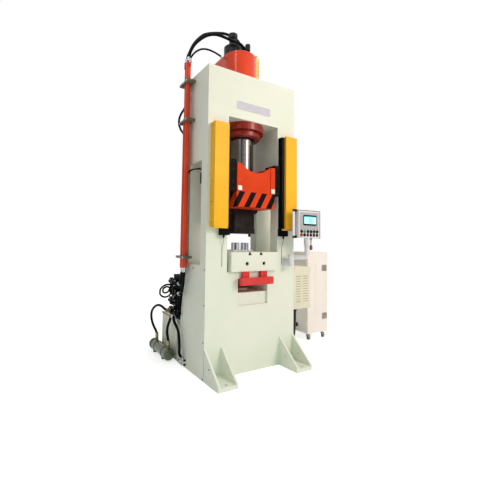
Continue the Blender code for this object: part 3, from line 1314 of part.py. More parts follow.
def pendant_arm():
    """Arm on the bracket: pivot cup, bent tube out and up, flat top under the panel's neck."""
    pivot = Vector((PIVOT_X, PIVOT_Y, ARM_Z))
    corner = Vector((ARM_END_X, ARM_END_Y, ARM_Z))
    along = (corner - pivot).normalized()
    reach = (corner - pivot).length
    bend = ARM_BEND
    points = [pivot, pivot + along * (reach - bend)]
    for step in range(1, 6):
        angle = math.radians(90 * step / 6)
        points.append(corner - along * bend + along * bend * math.sin(angle)
                      + Vector((0, 0, bend * (1 - math.cos(angle)))))
    points.append(Vector((corner.x, corner.y, ARM_Z + bend)))
    points.append(Vector((corner.x, corner.y, ARM_TOP)))
    arm_tube = tube_mesh("arm_tube", ARM_RADIUS, points)
    cup_low = BRACKET_BOSS_TOP + RUN
    cup_height = ARM_Z + ARM_RADIUS + ARM_CUP_LIP - cup_low
    cup = [(0, 0), (BRACKET_BOSS_RADIUS, 0), (BRACKET_BOSS_RADIUS, cup_height - ARM_CUP_CHAMFER),
           (BRACKET_BOSS_RADIUS - ARM_CUP_CHAMFER, cup_height), (0, cup_height)]
    arm = turned("pendant_arm", cup, (PIVOT_X, PIVOT_Y, cup_low))
    join(arm, arm_tube)
    cast_aluminium(smooth(arm))
    return arm


def pendant_panel():
    """Panel box with neck, side handles, screen recess, a row of lamps and holes for the buttons."""
    half = PANEL_WIDTH / 2
    left = ARM_END_X - half
    right = ARM_END_X + half
    rear = PANEL_FRONT + PANEL_DEPTH
    panel = box("pendant_panel", (left, PANEL_FRONT, PANEL_LOW), (right, rear, PANEL_TOP))
    bevel(panel, PANEL_BEVEL)
    depsgraph = bpy.context.evaluated_depsgraph_get()
    rounded = bpy.data.meshes.new_from_object(panel.evaluated_get(depsgraph))
    panel.modifiers.clear()
    panel.data = rounded
    neck_low = ARM_TOP + RUN
    join(panel,
         rod("neck", PANEL_NECK_RADIUS, (ARM_END_X, ARM_END_Y, neck_low),
             PANEL_LOW + OVERLAP - neck_low))
    middle_z = (PANEL_LOW + PANEL_TOP) / 2
    for side in (-1, 1):
        wall = ARM_END_X + side * half
        out = wall + side * HANDLE_REACH
        low = middle_z - HANDLE_LENGTH / 2
        high = middle_z + HANDLE_LENGTH / 2
        join(panel, rod("handle_bar", HANDLE_RADIUS, (out, ARM_END_Y, low - HANDLE_RADIUS),
                        HANDLE_LENGTH + 2 * HANDLE_RADIUS, steps=16))
        for z in (low, high):
            start = min(wall - side * OVERLAP, out)
            join(panel,
                 rod("handle_leg", HANDLE_RADIUS * 0.9, (start, ARM_END_Y, z), HANDLE_REACH + OVERLAP,
                     "X", 16))
    screen = SCREEN_WIDTH / 2
    cut(panel, box("screen", (ARM_END_X - screen, PANEL_FRONT - OVERLAP, PANEL_LOW + SCREEN_LOW),
                   (ARM_END_X + screen, PANEL_FRONT + SCREEN_RECESS,
                    PANEL_LOW + SCREEN_LOW + SCREEN_HEIGHT)))
    for number in range(len(BUTTON_NAMES)):
        x = button_x(number)
        join(panel, rod("lamp", BUTTON_RADIUS, (x, PANEL_FRONT - LAMP_PROUD, PANEL_LOW + LAMP_ROW),
                        LAMP_PROUD + BUTTON_RADIUS, "Y", 12))
        cut(panel,
            rod("button_hole", BUTTON_RADIUS + RUN, (x, PANEL_FRONT - OVERLAP, PANEL_LOW + BUTTON_ROW),
                       BUTTON_HOLE_DEPTH + OVERLAP, "Y", 16))
    cast_aluminium(panel)
    return panel


def button_x(number):
    """Column of a button or lamp on the panel."""
    return ARM_END_X + (number - (len(BUTTON_NAMES) - 1) / 2) * BUTTON_PITCH


def button(name, number):
    """Push button, mushroom stop or turning switch; its origin is on its axis at the panel's face."""
    x = button_x(number)
    z = PANEL_LOW + BUTTON_ROW
    face = (x, PANEL_FRONT, z)
    depth = BUTTON_HOLE_DEPTH - BUTTON_TRAVEL - BUTTON_SPARE
    radius = BUTTON_RADIUS
    if name == "emergency_stop":
        head = MUSHROOM_RADIUS
        gap = BUTTON_TRAVEL + BUTTON_SPARE
        top = gap + MUSHROOM_HEIGHT
        profile = [(0, -top), (head * 0.7, BUTTON_SPARE - top), (head, MUSHROOM_HEIGHT / 2 - top),
                   (head, -gap),
                   (radius, -gap), (radius, depth), (0, depth)]
        piece = turned(name, profile, face, "Y", 24)
    elif name == "mode_switch":
        profile = [(0, -SWITCH_PROUD), (radius, -SWITCH_PROUD), (radius, depth), (0, depth)]
        piece = turned(name, profile, face, "Y", 24)
        join(piece, box("lever", (x - LEVER_WIDTH / 2, PANEL_FRONT - LEVER_PROUD, z - radius * 0.9),
                        (x + LEVER_WIDTH / 2, PANEL_FRONT, z + radius * 0.9)))
    else:
        profile = [(0, -BUTTON_PROUD), (radius - BUTTON_SPARE, -BUTTON_PROUD),
                   (radius, BUTTON_SPARE - BUTTON_PROUD), (radius, depth), (0, depth)]
        piece = turned(name, profile, face, "Y", 24)
    set_origin(piece, face)
    colours = {"emergency_stop": (0.70, 0.02, 0.02), "start_button": (0.03, 0.45, 0.12),
               "stop_button": (0.65, 0.03, 0.03)}
    paint(piece, name + "_plastic", colours.get(name, (0.02, 0.02, 0.02)), 0.4, 0.0)
    return smooth(piece)


def pendant_plug():
    """Strain relief and connector that hang from the panel's underside."""
    top = PANEL_LOW - SEAT
    profile = [(radius, top - drop) for radius, drop in PLUG_PROFILE]
    piece = turned("pendant_plug", profile, (ARM_END_X + PLUG_OFFSET, ARM_END_Y, 0), steps=16)
    paint(piece, "brown_plastic", (0.22, 0.05, 0.04), 0.5, 0.0)
    return smooth(piece)


def top_hoses():
    """Two feed hoses and a pilot hose from the risers to the prefill tank."""
    riser_end = RISER_TOP + SEAT
    lead_end = HOSE_LEAD_TOP + SEAT
    tank_end = TANK_TOP + SEAT
    rear_start = (RISER_X, RISER_REAR_Y, riser_end)
    rear_lead = (RISER_X, RISER_REAR_Y, lead_end + 0.05)
    rear_end = (FEED_REAR_X, FEED_REAR_Y, tank_end)
    rear_drop = (FEED_REAR_X, FEED_REAR_Y, tank_end + 0.04)
    hose_rubber(hose("feed_hose_rear", THICK_HOSE,
                     [rear_start, *between(rear_lead, rear_drop, THICK_HOSE, [
        (0.059, -1.3, -0.01, 3.74), (0.145, -3.02, 0.14, 9.12), (0.239, -3.69, 0.4, 14.47),
        (0.345, -3.16, 0.66, 19.45), (0.409, -1.87, 0.93, 21.37), (0.493, 0.17, 1.2, 23.06),
        (0.586, 2.67, 1.46, 24.25), (0.641, 4.34, 1.73, 24.16), (0.72, 6.79, 1.99, 22.96),
        (0.779, 7.82, 1.7, 19.55), (0.846, 6.79, 1.14, 13.99), (0.917, 4.02, 0.29, 7.6)]), rear_end]))
    front_start = (RISER_X, RISER_FRONT_Y, riser_end)
    front_lead = (RISER_X, RISER_FRONT_Y, lead_end + 0.04)
    front_drop = (FEED_FRONT_X, FEED_FRONT_Y, tank_end + 0.03)
    front_end = (FEED_FRONT_X, FEED_FRONT_Y, tank_end)
    hose_rubber(hose("feed_hose_front", THICK_HOSE,
                     [front_start, *between(front_lead, front_drop, THICK_HOSE, [
        (0.058, -1.78, 0.5, 2.64), (0.166, -4.12, 0.87, 7.32), (0.258, -4.84, 0.83, 10.58),
        (0.368, -4.93, 0.67, 13.74), (0.457, -4.24, -0.23, 14.92), (0.521, -3.39, -0.79, 14.84),
        (0.598, -2.3, -1.24, 13.61), (0.676, -1.26, -1.68, 11.53), (0.792, 0.34, -2.35, 8.95),
        (0.856, 1.36, -1.8, 7.76), (0.913, 2.01, -1.03, 5.71), (0.967, 1.28, -0.28, 2.33)]), front_end]))
    port_y = RISER_FRONT_Y - PILOT_PORT_REACH
    port_start = (RISER_X, port_y, RISER_TOP - RISER_NUT_HEIGHT / 2 + SEAT)
    port_lead = (RISER_X, port_y, HOSE_LEAD_TOP - RISER_NUT_HEIGHT / 2 + SEAT + 0.04)
    tank_side = -TANK_RADIUS - SEAT
    side_lead = (tank_side - 0.03, PILOT_ENTRY_Y, TANK_TOP - PILOT_ENTRY_DROP)
    side_end = (tank_side, PILOT_ENTRY_Y, TANK_TOP - PILOT_ENTRY_DROP)
    hose_rubber(hose("pilot_hose", THIN_HOSE, [port_start, *between(port_lead, side_lead, THIN_HOSE, [
        (0.085, -2.07, -0.34, 2.58), (0.231, -3.83, -0.66, 6.1), (0.393, -4.33, -0.72, 8.66),
        (0.52, -3.76, -0.58, 9.17), (0.667, -2.6, -0.38, 7.8), (0.828, -1.24, -0.01, 4.55),
        (0.941, -0.44, 0.06, 1.54)]), side_end]))


def plant_hoses():
    """Hoses between the risers, the manifold, the oil cooler and the drain in the frame's side."""
    foot_end = RISER_LOW - SEAT
    port_end = MANIFOLD_FRONT + MODULE_INSET - FEED_PORT_LENGTH - SEAT
    upper = module_z(3)
    lower = module_z(2)
    rear_start = (RISER_X, RISER_REAR_Y, foot_end)
    rear_lead = (RISER_X, RISER_REAR_Y, foot_end - 0.05)
    hose_rubber(hose("return_hose_rear", THICK_HOSE,
                     [rear_start,
                      *between(rear_lead, (FEED_PORT_X, port_end - 0.03, upper), THICK_HOSE, [
        (0.265, -0.28, -1.19, -0.9), (0.574, -0.23, -1.45, -1.41), (0.844, -0.07, -0.73,
                                                                    -0.94)]), (FEED_PORT_X, port_end,
                                                                               upper)]))
    front_start = (RISER_X, RISER_FRONT_Y, foot_end)
    front_lead = (RISER_X, RISER_FRONT_Y, foot_end - 0.06)
    hose_rubber(hose("return_hose_front", THICK_HOSE,
                     [front_start,
                      *between(front_lead, (FEED_PORT_X, port_end - 0.03, lower), THICK_HOSE, [
        (0.207, -0.51, -1.85, -1.21), (0.435, -0.73, -2.99, -2.4), (0.661, -0.55, -2.89, -2.95),
        (0.844, -0.18, -1.59, -2.1)]), (FEED_PORT_X, port_end, lower)]))
    cooler_end = COOLER_AXIS_Z + COOLER_PORT_HEIGHT + SEAT
    near_y = COOLER_LOW_Y + COOLER_NEAR_PORT
    far_y = COOLER_LOW_Y + COOLER_FAR_PORT
    far_x = MODULE_X - RETURN_PORT_REACH - SEAT
    far_start = MANIFOLD_FRONT + MODULE_INSET + RETURN_PORT_ALONG
    far_z = module_z(0) + RETURN_PORT_LIFT
    hose_rubber(hose("cooler_hose_far", COOLER_HOSE,
                     [(far_x, far_start, far_z),
                      *between((far_x - 0.02, far_start, far_z), (COOLER_X, far_y, cooler_end + 0.05),
                               COOLER_HOSE, [
        (0.048, -1.5, 1.08, 1.83), (0.149, -1.88, 4.29, 5.12), (0.307, -1.73, 9.52, 8.58),
        (0.493, -1.6, 15.19, 9.56), (0.652, -1.45, 18.62, 7.57), (0.763, -0.96, 16.86, 3.62),
        (0.897, -0.32, 8.02, 0.77)]), (COOLER_X, far_y, cooler_end)]))
    module_low = module_z(0) - MODULE_HEIGHT / 2 - SEAT
    module_mid = MODULE_X + COOLER_HOSE + 0.002
    hose_rubber(hose("cooler_hose_near", COOLER_HOSE,
                     [(module_mid, 0.560, module_low),
                      *between((module_mid, 0.560, module_low - 0.03),
                               (COOLER_X, near_y, cooler_end + 0.05), COOLER_HOSE, [
        (0.195, -0.38, 1.28, -0.06), (0.419, -0.79, 2.63, -0.19), (0.697, -0.7, 2.61,
                                                                   -0.53)]), (COOLER_X, near_y,
                                                                              cooler_end)]))
    frame_side = -SIDE - SEAT
    hose_rubber(hose("drain_hose", COOLER_HOSE,
                     [(module_mid, 0.500, module_low),
                      *between((module_mid, 0.500, module_low - 0.03),
                               (frame_side - 0.025, DRAIN_Y, DRAIN_Z), COOLER_HOSE, [
        (0.117, -0.28, -0.89, 0.22), (0.284, -0.62, -3.39, 2.1), (0.457, -0.83, -5.2, 2.95),
        (0.637, -1, -4.09, 1.94), (0.793, -1.14, -2.1, 0.87), (0.898, -1.24, -0.94, 0.18),
        (0.956, -1, -0.48, -0.13)]), (frame_side, DRAIN_Y, DRAIN_Z)]))


def cables():
    """Looped coil cable at the manifold, signal cable up to the crown, and the limit switch with its lead."""
    module_side = MODULE_X - SEAT
    hose_rubber(hose("coil_cable", CABLE,
                     [(module_side, 0.450, module_z(1)),
                      *between((module_side - 0.03, 0.450, module_z(1)),
                               (module_side - 0.015, 0.450, module_z(3)), CABLE, [
        (0.059, -2.78, -3.64, 2.27), (0.139, -2.62, -8.91, 6.36), (0.211, -2.35, -11.09, 11.54),
        (0.273, -5.35, -10.18, 15.4), (0.337, -10.89, -7.09, 14.13), (0.41, -15.71, -4.09, 7.93),
        (0.466, -16.24, -3.18, 1.2), (0.524, -12.23, -4.55, -3.94), (0.581, -6.86, -5.64, -4.32),
        (0.638, -3.66, -5.45, -1.07), (0.689, -5.19, -4.36, 2.5), (0.738, -9.43, -2, 2.02),
        (0.79, -12.23, 0.18, -2.98), (0.833, -9.93, 0.91, -7.41), (0.878, -5.72, 0.55, -7.44),
        (0.931, -2.79, 0.36, -4.37), (0.971, -1.93, 0.18, -1.46)]), (module_side, 0.450, module_z(3))]))
    manifold_top = PLANT_TOP + MANIFOLD_HEIGHT + SEAT
    frame_side = -SIDE - SEAT
    clamp_low = (SIGNAL_CABLE_X, SIGNAL_CABLE_Y, CLAMP_HEIGHTS[0] - 0.01)
    clamp_high = (SIGNAL_CABLE_X, SIGNAL_CABLE_Y, CLAMP_HEIGHTS[0] + 0.06)
    loop_start = (SIGNAL_CABLE_X, SIGNAL_CABLE_Y, CLAMP_HEIGHTS[1] - 0.23)
    start = PLANT_LEFT + 0.030
    hose_rubber(hose("signal_cable", SIGNAL_CABLE, [
        (start, 0.450, manifold_top), *between((start, 0.450, manifold_top + 0.03), clamp_low,
                                               SIGNAL_CABLE, [
        (0.225, 0.09, 0.05, 0.52), (0.558, -0.84, -1.55, -1.25), (0.774, -1.16, -2.21, -1.62),
        (0.907, -0.48, -1.35, -0.75)]), clamp_high,
        *between(loop_start, (frame_side - 0.02, SIGNAL_CABLE_Y, CLAMP_HEIGHTS[1] + 0.38), SIGNAL_CABLE,
                 [
        (0.143, -1.03, 1.64, 0.91), (0.266, -2.03, 5.93, 0.2), (0.401, -2.62, 9.86, 0.03),
        (0.5, -2.74, 10.93, 0.71), (0.602, -2.58, 8.43, 0.91), (0.719, -1.86, 3.43, -0.97),
        (0.83, -0.99, 0.21, -1.16), (0.913, -1.09, 0, -0.5), (0.976, -0.59, 0, -0.03)]),
        (frame_side, SIGNAL_CABLE_Y, CLAMP_HEIGHTS[1] + 0.38)]))
    column = -SIDE_WINDOW_DEPTH / 2 + SEAT
    switch_low = SIDE_WINDOW_HIGH - 0.275
    switch_high = switch_low + 0.13
    switch = box("limit_switch", (-SIDE + 0.005, column, switch_low),
                 (-SIDE + 0.045, column + 0.045, switch_high))
    lead_x = -SIDE + 0.025
    lead_y = column + 0.0225
    down_top = (SWITCH_CABLE_X, SWITCH_CABLE_Y, switch_high - 0.065)
    down_low = (SWITCH_CABLE_X, SWITCH_CABLE_Y, CLAMP_HEIGHTS[0] - 0.04)
    block_x = PLANT_LEFT + 0.015
    block_z = manifold_top - 0.0406
    lead = [(lead_x, lead_y, switch_high - OVERLAP),
            *between((lead_x, lead_y, switch_high + OVERLAP), down_top, SWITCH_CABLE, [
                (0.129, -1.35, -0.44, 5.19), (0.269, -3.32, 0.7, 7.24), (0.502, -2.82, 3.55, 9.74),
                (0.689, -1.89, 5.81, 10.52), (0.825, -0.87, 5.43, 6.88)]),
            (SWITCH_CABLE_X, SWITCH_CABLE_Y, CLAMP_HEIGHTS[0] + 0.06),
            *between(down_low, (block_x, MANIFOLD_FRONT - 0.020, block_z), SWITCH_CABLE, [
                (0.091, -0.4, -1.7, -0.81), (0.293, -1.41, -4.02, -2.42), (0.546, -2.65, -3.75, -3.17),
                (0.772, -2.99, -1.86, -2.44), (0.911, -1.27, -0.89, -1.36)]),
            (block_x, MANIFOLD_FRONT - SEAT, block_z)]
    join(switch, tube_mesh("lead", SWITCH_CABLE, hose_points(SWITCH_CABLE, lead), 2))
    hose_rubber(switch)


def cabinet_conduit():
    """Corrugated conduit from under the louvred box along the floor to the cabinet."""
    start = LOUVRE_BOX_LOW - SEAT
    end = CABINET_LEFT - SEAT
    x = SIDE + 0.06
    hose_rubber(hose("cabinet_conduit", CONDUIT, [
        (x, -0.245, start), *between((x, -0.245, start - 0.08), (end - 0.03, 0.505, 0.210), CONDUIT, [
        (0.078, -2.14, -2.06, -3.53), (0.17, -4.67, -4.13, -7.6), (0.263, -7.04, -5.47, -11.66),
        (0.337, -8.3, -5.3, -14.26), (0.403, -8.39, -4.13, -15.05), (0.51, -7.48, -2.21, -13.91),
        (0.657, -5.37, -0.3, -11.81), (0.804, -2.87, 1.23, -9.14), (0.905, -1.03, 1.39, -5.39),
        (0.97, -0.51, 0.6, -1.58)]), (end, 0.505, 0.210)], 3))


def build():
    """Make every piece and hang the moving ones on empties on their joints' axes."""
    press_frame()
    bolster()
    main_cylinder()
    ram = joint_empty("ram_axis", (0, 0, SLIDE_BOTTOM))
    carry(ram, slide(), piston_rod(), upper_tool())
    die_shoe()
    for side, side_name in ((-1, "left"), (1, "right")):
        for face, face_name in ((-1, "front"), (1, "rear")):
            guide_rail("guide_rail_" + face_name + "_" + side_name, side, face)
            light_curtain("light_curtain_" + face_name + "_" + side_name, side, face)
        side_cover("side_cover_" + side_name, side)
    riser("riser_pipe_front", RISER_FRONT_Y, RISER_RADIUS)
    riser("riser_pipe_rear", RISER_REAR_Y, RISER_UPPER_RADIUS)
    prefill_tank()
    prefill_valve()
    pilot_valve()
    gauge_column()
    ejector_cylinder()
    ejector = joint_empty("ejector_axis", (0, 0, BAY_FLOOR))
    carry(ejector, ejector_yoke())
    power_tank()
    pump_motor()
    valve_manifold()
    oil_cooler()
    louvre_box()
    top_hoses()
    plant_hoses()
    cables()
    cabinet_conduit()
    cabinet_body()
    hinge = joint_empty("door_axis", (HINGE_X, HINGE_Y, CABINET_LOW))
    carry(hinge, cabinet_door())
    fork_top = CABINET_LOW - SEAT
    for side_name, x in zip(("left", "right"), CASTER_COLUMNS):
        front_y = CABINET_FRONT + CASTER_INSET
        rear_y = CABINET_FRONT + CABINET_DEPTH - CASTER_INSET
        swivel = joint_empty("caster_axis_" + side_name, (x, front_y, 0))
        carry(swivel, caster_fork("caster_fork_" + side_name, x, front_y, fork_top),
              caster_wheel("front_wheel_" + side_name, x, front_y))
        caster_wheel("rear_wheel_" + side_name, x, rear_y)
    pendant_bracket()
    swing = joint_empty("arm_axis", (PIVOT_X, PIVOT_Y, ARM_Z))
    carry(swing, pendant_arm())
    panel_axis = joint_empty("panel_axis", (ARM_END_X, ARM_END_Y, ARM_TOP))
    carry(panel_axis, pendant_panel(), pendant_plug())
    carry(panel_axis, *[button(name, number) for number, name in enumerate(BUTTON_NAMES)])


build()
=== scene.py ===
"""Looks of the hydraulic press: materials, small fittings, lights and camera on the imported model.

Metres, +Z up, in the model's own frame: the origin is on the floor under the middle of the press, and the
front faces -Y. Small fittings that share a finish and a body are one mesh.
"""
import math
from itertools import product

import bpy
import numpy as np
from mathutils import Matrix, Vector


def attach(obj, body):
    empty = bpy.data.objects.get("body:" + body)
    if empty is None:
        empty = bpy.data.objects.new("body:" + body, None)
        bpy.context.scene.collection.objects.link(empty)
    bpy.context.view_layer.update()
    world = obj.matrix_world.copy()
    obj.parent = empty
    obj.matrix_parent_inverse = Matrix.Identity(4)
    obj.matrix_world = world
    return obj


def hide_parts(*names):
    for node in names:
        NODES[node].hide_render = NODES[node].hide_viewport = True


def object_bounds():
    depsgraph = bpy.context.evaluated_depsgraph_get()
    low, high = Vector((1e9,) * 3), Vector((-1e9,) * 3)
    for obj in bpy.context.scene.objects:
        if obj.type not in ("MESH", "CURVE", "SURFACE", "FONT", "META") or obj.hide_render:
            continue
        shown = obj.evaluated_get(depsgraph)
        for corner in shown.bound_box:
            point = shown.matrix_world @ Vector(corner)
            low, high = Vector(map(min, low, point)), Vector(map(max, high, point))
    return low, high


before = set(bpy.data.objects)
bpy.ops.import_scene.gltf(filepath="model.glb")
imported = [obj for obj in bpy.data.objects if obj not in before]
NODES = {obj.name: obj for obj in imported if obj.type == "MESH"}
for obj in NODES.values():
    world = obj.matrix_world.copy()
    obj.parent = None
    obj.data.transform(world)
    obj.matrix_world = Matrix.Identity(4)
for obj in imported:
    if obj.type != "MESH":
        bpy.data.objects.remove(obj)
CAD_BOX = [[float(value) for value in corner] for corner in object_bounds()]

# The press, repeated from the model's own sizes. SEAT is the gap between two pieces that sit together.
SEAT = 0.0003
SIDE = 0.655
FRONT = -0.295
REAR = 0.295
BOLSTER_TOP = 1.4133
BOLSTER_FRONT = -0.345
BOLSTER_HOLE_Z = 1.2763
FLANGE_LOW = 2.94
GLAND_LOW = 2.865
HUB_TOP = 2.35
SLIDE_LOW = 1.95
SLIDE_FRONT = -0.345
SLIDE_HALF = 0.285
BAND_HEIGHT = 0.185
TOOL_CLAMP_LOW = 1.915
RISER_X = -0.72
RISER_FRONT_Y = 0.135
RISER_REAR_Y = 0.197
RISER_LOW = 1.21
RISER_TOP = 3.80
CLAMP_HEIGHTS = (1.34, 3.03, 3.52)
TANK_TOP = 4.0203
OIL_TANK_TOP = 0.53
COOLER_X = -0.745
COOLER_Z = 0.082
PANEL_FRONT = -0.565
PANEL_X = 0.67
PANEL_HALF = 0.18
PANEL_LOW = 1.592
HANDLE_Y = -0.52
BUTTON_PITCH = 0.054
SCREEN_MIDDLE = (PANEL_X + 0.012, PANEL_LOW + 0.226)
SCREEN_HALF = (0.104, 0.0457)
MODULE_X = -0.715
MODULE_Z = (0.6203, 0.7453, 0.8703, 0.9953)
CABINET_FRONT = 0.255
CABINET_LEFT = 1.46
CABINET_RIGHT = 1.91
CABINET_LOW = 0.11
VENT_LOWS = (0.20, 0.97)
VENT_PITCH = 0.018
LOUVRE_LOW = 0.761
LOUVRE_PITCH = 0.033
LOUVRE_ROWS = 11

# Left and right, or front and rear.
BOTH = (-1, 1)
# Hazard bars on the slide's lower band: first edge, pitch, black share, slant and run round the corner.
BAR_FIRST = -0.346
BAR_PITCH = 0.165
BAR_SHARE = 0.49
BAR_LEAN = 0.56
BAR_TURN = 0.72
# How deep under a face its paint counts as being on that face.
PAINT_DEPTH = 0.002
# Soft edges: the steps of the round, and the least turn in degrees that counts as an edge.
EDGE_STEPS = 2
EDGE_TURN = 40
# How far a hose's crimped sleeve reaches from the port, and the points on a rounded corner.
SLEEVE_LENGTH = 0.052
CORNER_POINTS = 6
# Painted shade near the floor: the colour that low paint is darkened to, and the height that the darkening
# reaches.
FLOOR_SHADE = "#B9B29C"
FLOOR_SHADE_HEIGHT = 0.30
# The photo's camera: its place, its turn in radians, and its focal length and optical middle in pixels.
CAMERA_PLACE = (-2.4081, -3.6085, 1.5312)
YAW, PITCH, ROLL = 0.5483, 0.064, -0.0142
PHOTO_SIZE = 480
FOCAL = 333.32
PHOTO_MIDDLE = (226.93, 220.53)
SENSOR = 36.0


def lin(code):
    """Linear red, green, blue and alpha of an sRGB hex colour."""
    parts = [int(code[i:i + 2], 16) / 255 for i in (1, 3, 5)]
    return tuple(p / 12.92 if p <= 0.04045 else ((p + 0.055) / 1.055) ** 2.4 for p in parts) + (1.0,)


def settle(tree, node, values=None, links=None):
    """Give a node its socket values and links.

    A link comes from a socket, or from the first output in use of a node.
    """
    for key, value in (values or {}).items():
        node.inputs[key].default_value = value
    for key, source in (links or {}).items():
        if isinstance(source, bpy.types.Node):
            source = next(socket for socket in source.outputs if socket.enabled)
        tree.links.new(source, node.inputs[key])
    return node


def add_node(tree, kind, values=None, links=None, **settings):
    """Add one shader node, with its settings, socket values and incoming links."""
    made = tree.nodes.new("ShaderNode" + kind)
    for key, value in settings.items():
        setattr(made, key, value)
    return settle(tree, made, values, links)


def new_material(name):
    """An empty node material: its tree, its Principled shader and the Object coordinates."""
    material = bpy.data.materials.new(name)
    material.use_nodes = True
    tree = material.node_tree
    return material, tree, tree.nodes["Principled BSDF"], add_node(tree, "TexCoord").outputs["Object"]


def lumps(millimetres):
    """Noise scale, on coordinates in metres, whose lumps are about this wide."""
    return 1000.0 / millimetres


def uneven(tree, place, millimetres, detail, start, end, low=0.0, high=1.0):
    """Soft patches this wide: a noise whose levels from start to end are spread from low to high."""
    noise = add_node(tree, "TexNoise", {"Scale": lumps(millimetres), "Detail": detail}, {"Vector": place})
    return add_node(tree, "MapRange", {1: start, 2: end, 3: low, 4: high}, {0: noise})


def surface(material, tone, gloss, height, bump, depth, values):
    """Wire a finish's colour, gloss and relief to its shader, and set its plain numbers there."""
    tree = material.node_tree
    relief = add_node(tree, "Bump", {"Strength": bump, "Distance": depth}, {"Height": height})
    links = {"Base Color": tone, "Roughness": gloss, "Normal": relief}
    settle(tree, tree.nodes["Principled BSDF"], values, links)
    return material


def finish_material(name, colour, deep, rough, metallic=0.0, patch=160.0, grain=2.5, bump=0.03, spread=0.08,
                    coat=0.0, stretch=(1.0, 1.0, 1.0), specular=0.5, floor_shade=0.0, beyond=None):
    """A finish of two close tones in soft patches, uneven gloss, a fine grain and, if asked, painted shade
    that darkens it towards the floor.

    patch and grain are the widths of the tone patches and of the surface grain, in millimetres. beyond is an
    x and the colour of what lies left of it, such as a frame's own pipe clamps.
    """
    material, tree, _, place = new_material(name)
    place = add_node(tree, "Mapping", {"Scale": stretch}, {"Vector": place})
    patches = uneven(tree, place, patch, 5.0, 0.35, 0.68)
    tone = add_node(tree, "Mix", {6: lin(colour), 7: lin(deep)}, {0: patches}, data_type="RGBA")
    # Painted shade: the tone darkens towards the floor, in soft patches.
    if floor_shade:
        height = add_node(tree, "SeparateXYZ", links={0: place}).outputs[2]
        low = add_node(tree, "MapRange", {1: 0.0, 2: FLOOR_SHADE_HEIGHT, 3: floor_shade, 4: 0.0}, {0: height})
        low = add_node(tree, "Math", links={0: low, 1: patches}, operation="MULTIPLY")
        tone = add_node(tree, "Mix", {7: lin(FLOOR_SHADE)}, {0: low, 6: tone}, data_type="RGBA")
    if beyond:
        side = add_node(tree, "SeparateXYZ", links={0: place})
        past = add_node(tree, "Math", {1: beyond[0]}, {0: side}, operation="LESS_THAN")
        tone = add_node(tree, "Mix", {7: lin(beyond[1])}, {0: past, 6: tone}, data_type="RGBA")
    gloss = uneven(tree, place, patch / 4, 3.0, 0.3, 0.7, rough - spread / 2, rough + spread / 2)
    skin = add_node(tree, "TexNoise", {"Scale": lumps(grain), "Detail": 2.0}, {"Vector": place})
    return surface(material, tone, gloss, skin, bump, 0.002, {
        "Metallic": metallic, "Coat Weight": coat, "Coat Roughness": 0.08, "Specular IOR Level": specular})


# Satin two-pack enamel of a pale green cream, rolled on the welded frame and table. The roller's grain is
# 1.5 mm wide and is drawn at 4 mm, so that it shows from where the camera stands.
# It is painted darker towards the floor: painted shade.
FRAME_ENAMEL = finish_material("pale_green_enamel", "#E9EBDD", "#E3E9D8", 0.42, patch=550, grain=4,
                               bump=0.05, specular=0.3, floor_shade=0.15, beyond=(-SIDE - 0.002, "#6B6650"))
# The same enamel on thin sheet, where it is sprayed and a little creamier: a 2.5 mm orange peel.
SHEET_ENAMEL = finish_material("cream_green_sheet_enamel", "#E6E2CB", "#DDD9C0", 0.40, patch=400, grain=2.5,
                               specular=0.35)
# Gloss orange-red enamel of the tank and pipes: long soft reflections over a 5 mm brush grain.
RED_ENAMEL = finish_material("orange_red_gloss_enamel", "#EA461B", "#DC3C15", 0.30, patch=330, grain=5,
                             bump=0.035, coat=0.16, specular=0.25)
# The same red, painted darker on the cylinder and its flange for the shade deep in the crown: painted shade.
SHADED_CYLINDER_RED = finish_material("cylinder_red_with_painted_shade", "#9C2610", "#7E1A0B", 0.30, patch=120, grain=5,
                                  bump=0.05, coat=0.12, specular=0.25)
# Satin signal red on the ejector's yoke.
SIGNAL_RED = finish_material("signal_red_enamel", "#DC3530", "#CF2C29", 0.38, patch=250, grain=2.5,
                             bump=0.04, specular=0.4)
# Satin yellow powder coat on the sheet covers: a fine 1.2 mm orange peel that keeps the colour deep.
YELLOW_COAT = finish_material("yellow_powder_coat", "#FABE1E", "#F5B518", 0.45, patch=500, grain=1.2,
                              bump=0.05, specular=0.22)
# Pale yellow enamel of the gauge column.
PALE_YELLOW = finish_material("pale_yellow_enamel", "#F0CF86", "#E8C272", 0.42, patch=150, grain=2,
                              specular=0.35)
# Pale orange on the ledges under the covers: the covers' yellow, painted darker for the shade under them.
SHADED_LEDGE_YELLOW = finish_material("cover_yellow_with_painted_shade", "#E7A868", "#D9955A", 0.48, patch=110, grain=2,
                             specular=0.3)
# Black satin enamel of the guide rails, curtain columns, valves and manifold.
BLACK_ENAMEL = finish_material("black_satin_enamel", "#0B0A0B", "#121112", 0.46, patch=140, grain=3.5,
                               bump=0.04, specular=0.04)
# Blue-black phosphated castings of the prefill and pilot valves, with an oily sheen.
VALVE_BLACK = finish_material("blue_black_phosphated_casting", "#1B1820", "#26222B", 0.32, 0.3, patch=60,
                              grain=4, bump=0.10, spread=0.14, specular=0.3)
# Oiled, hardened tool steel, black with a brown cast where hands have worn it.
TOOL_STEEL = finish_material("black_oiled_tool_steel", "#1A1817", "#2A2522", 0.42, 0.45, patch=90, grain=4,
                             bump=0.08, spread=0.18, specular=0.1)
# Grey enamel on the motor's cast housing: sand-cast skin of 4.5 mm lumps.
MOTOR_GREY = finish_material("motor_grey_enamel", "#5D646A", "#535A60", 0.45, patch=125, grain=4.5,
                             bump=0.10, specular=0.35)
# Smooth black cover of the hydraulic hoses, with a 1.1 mm cloth print.
HOSE_COVER = finish_material("black_hose_rubber", "#0A0A0B", "#101011", 0.48, patch=33, grain=1.1, bump=0.10,
                             specular=0.05)
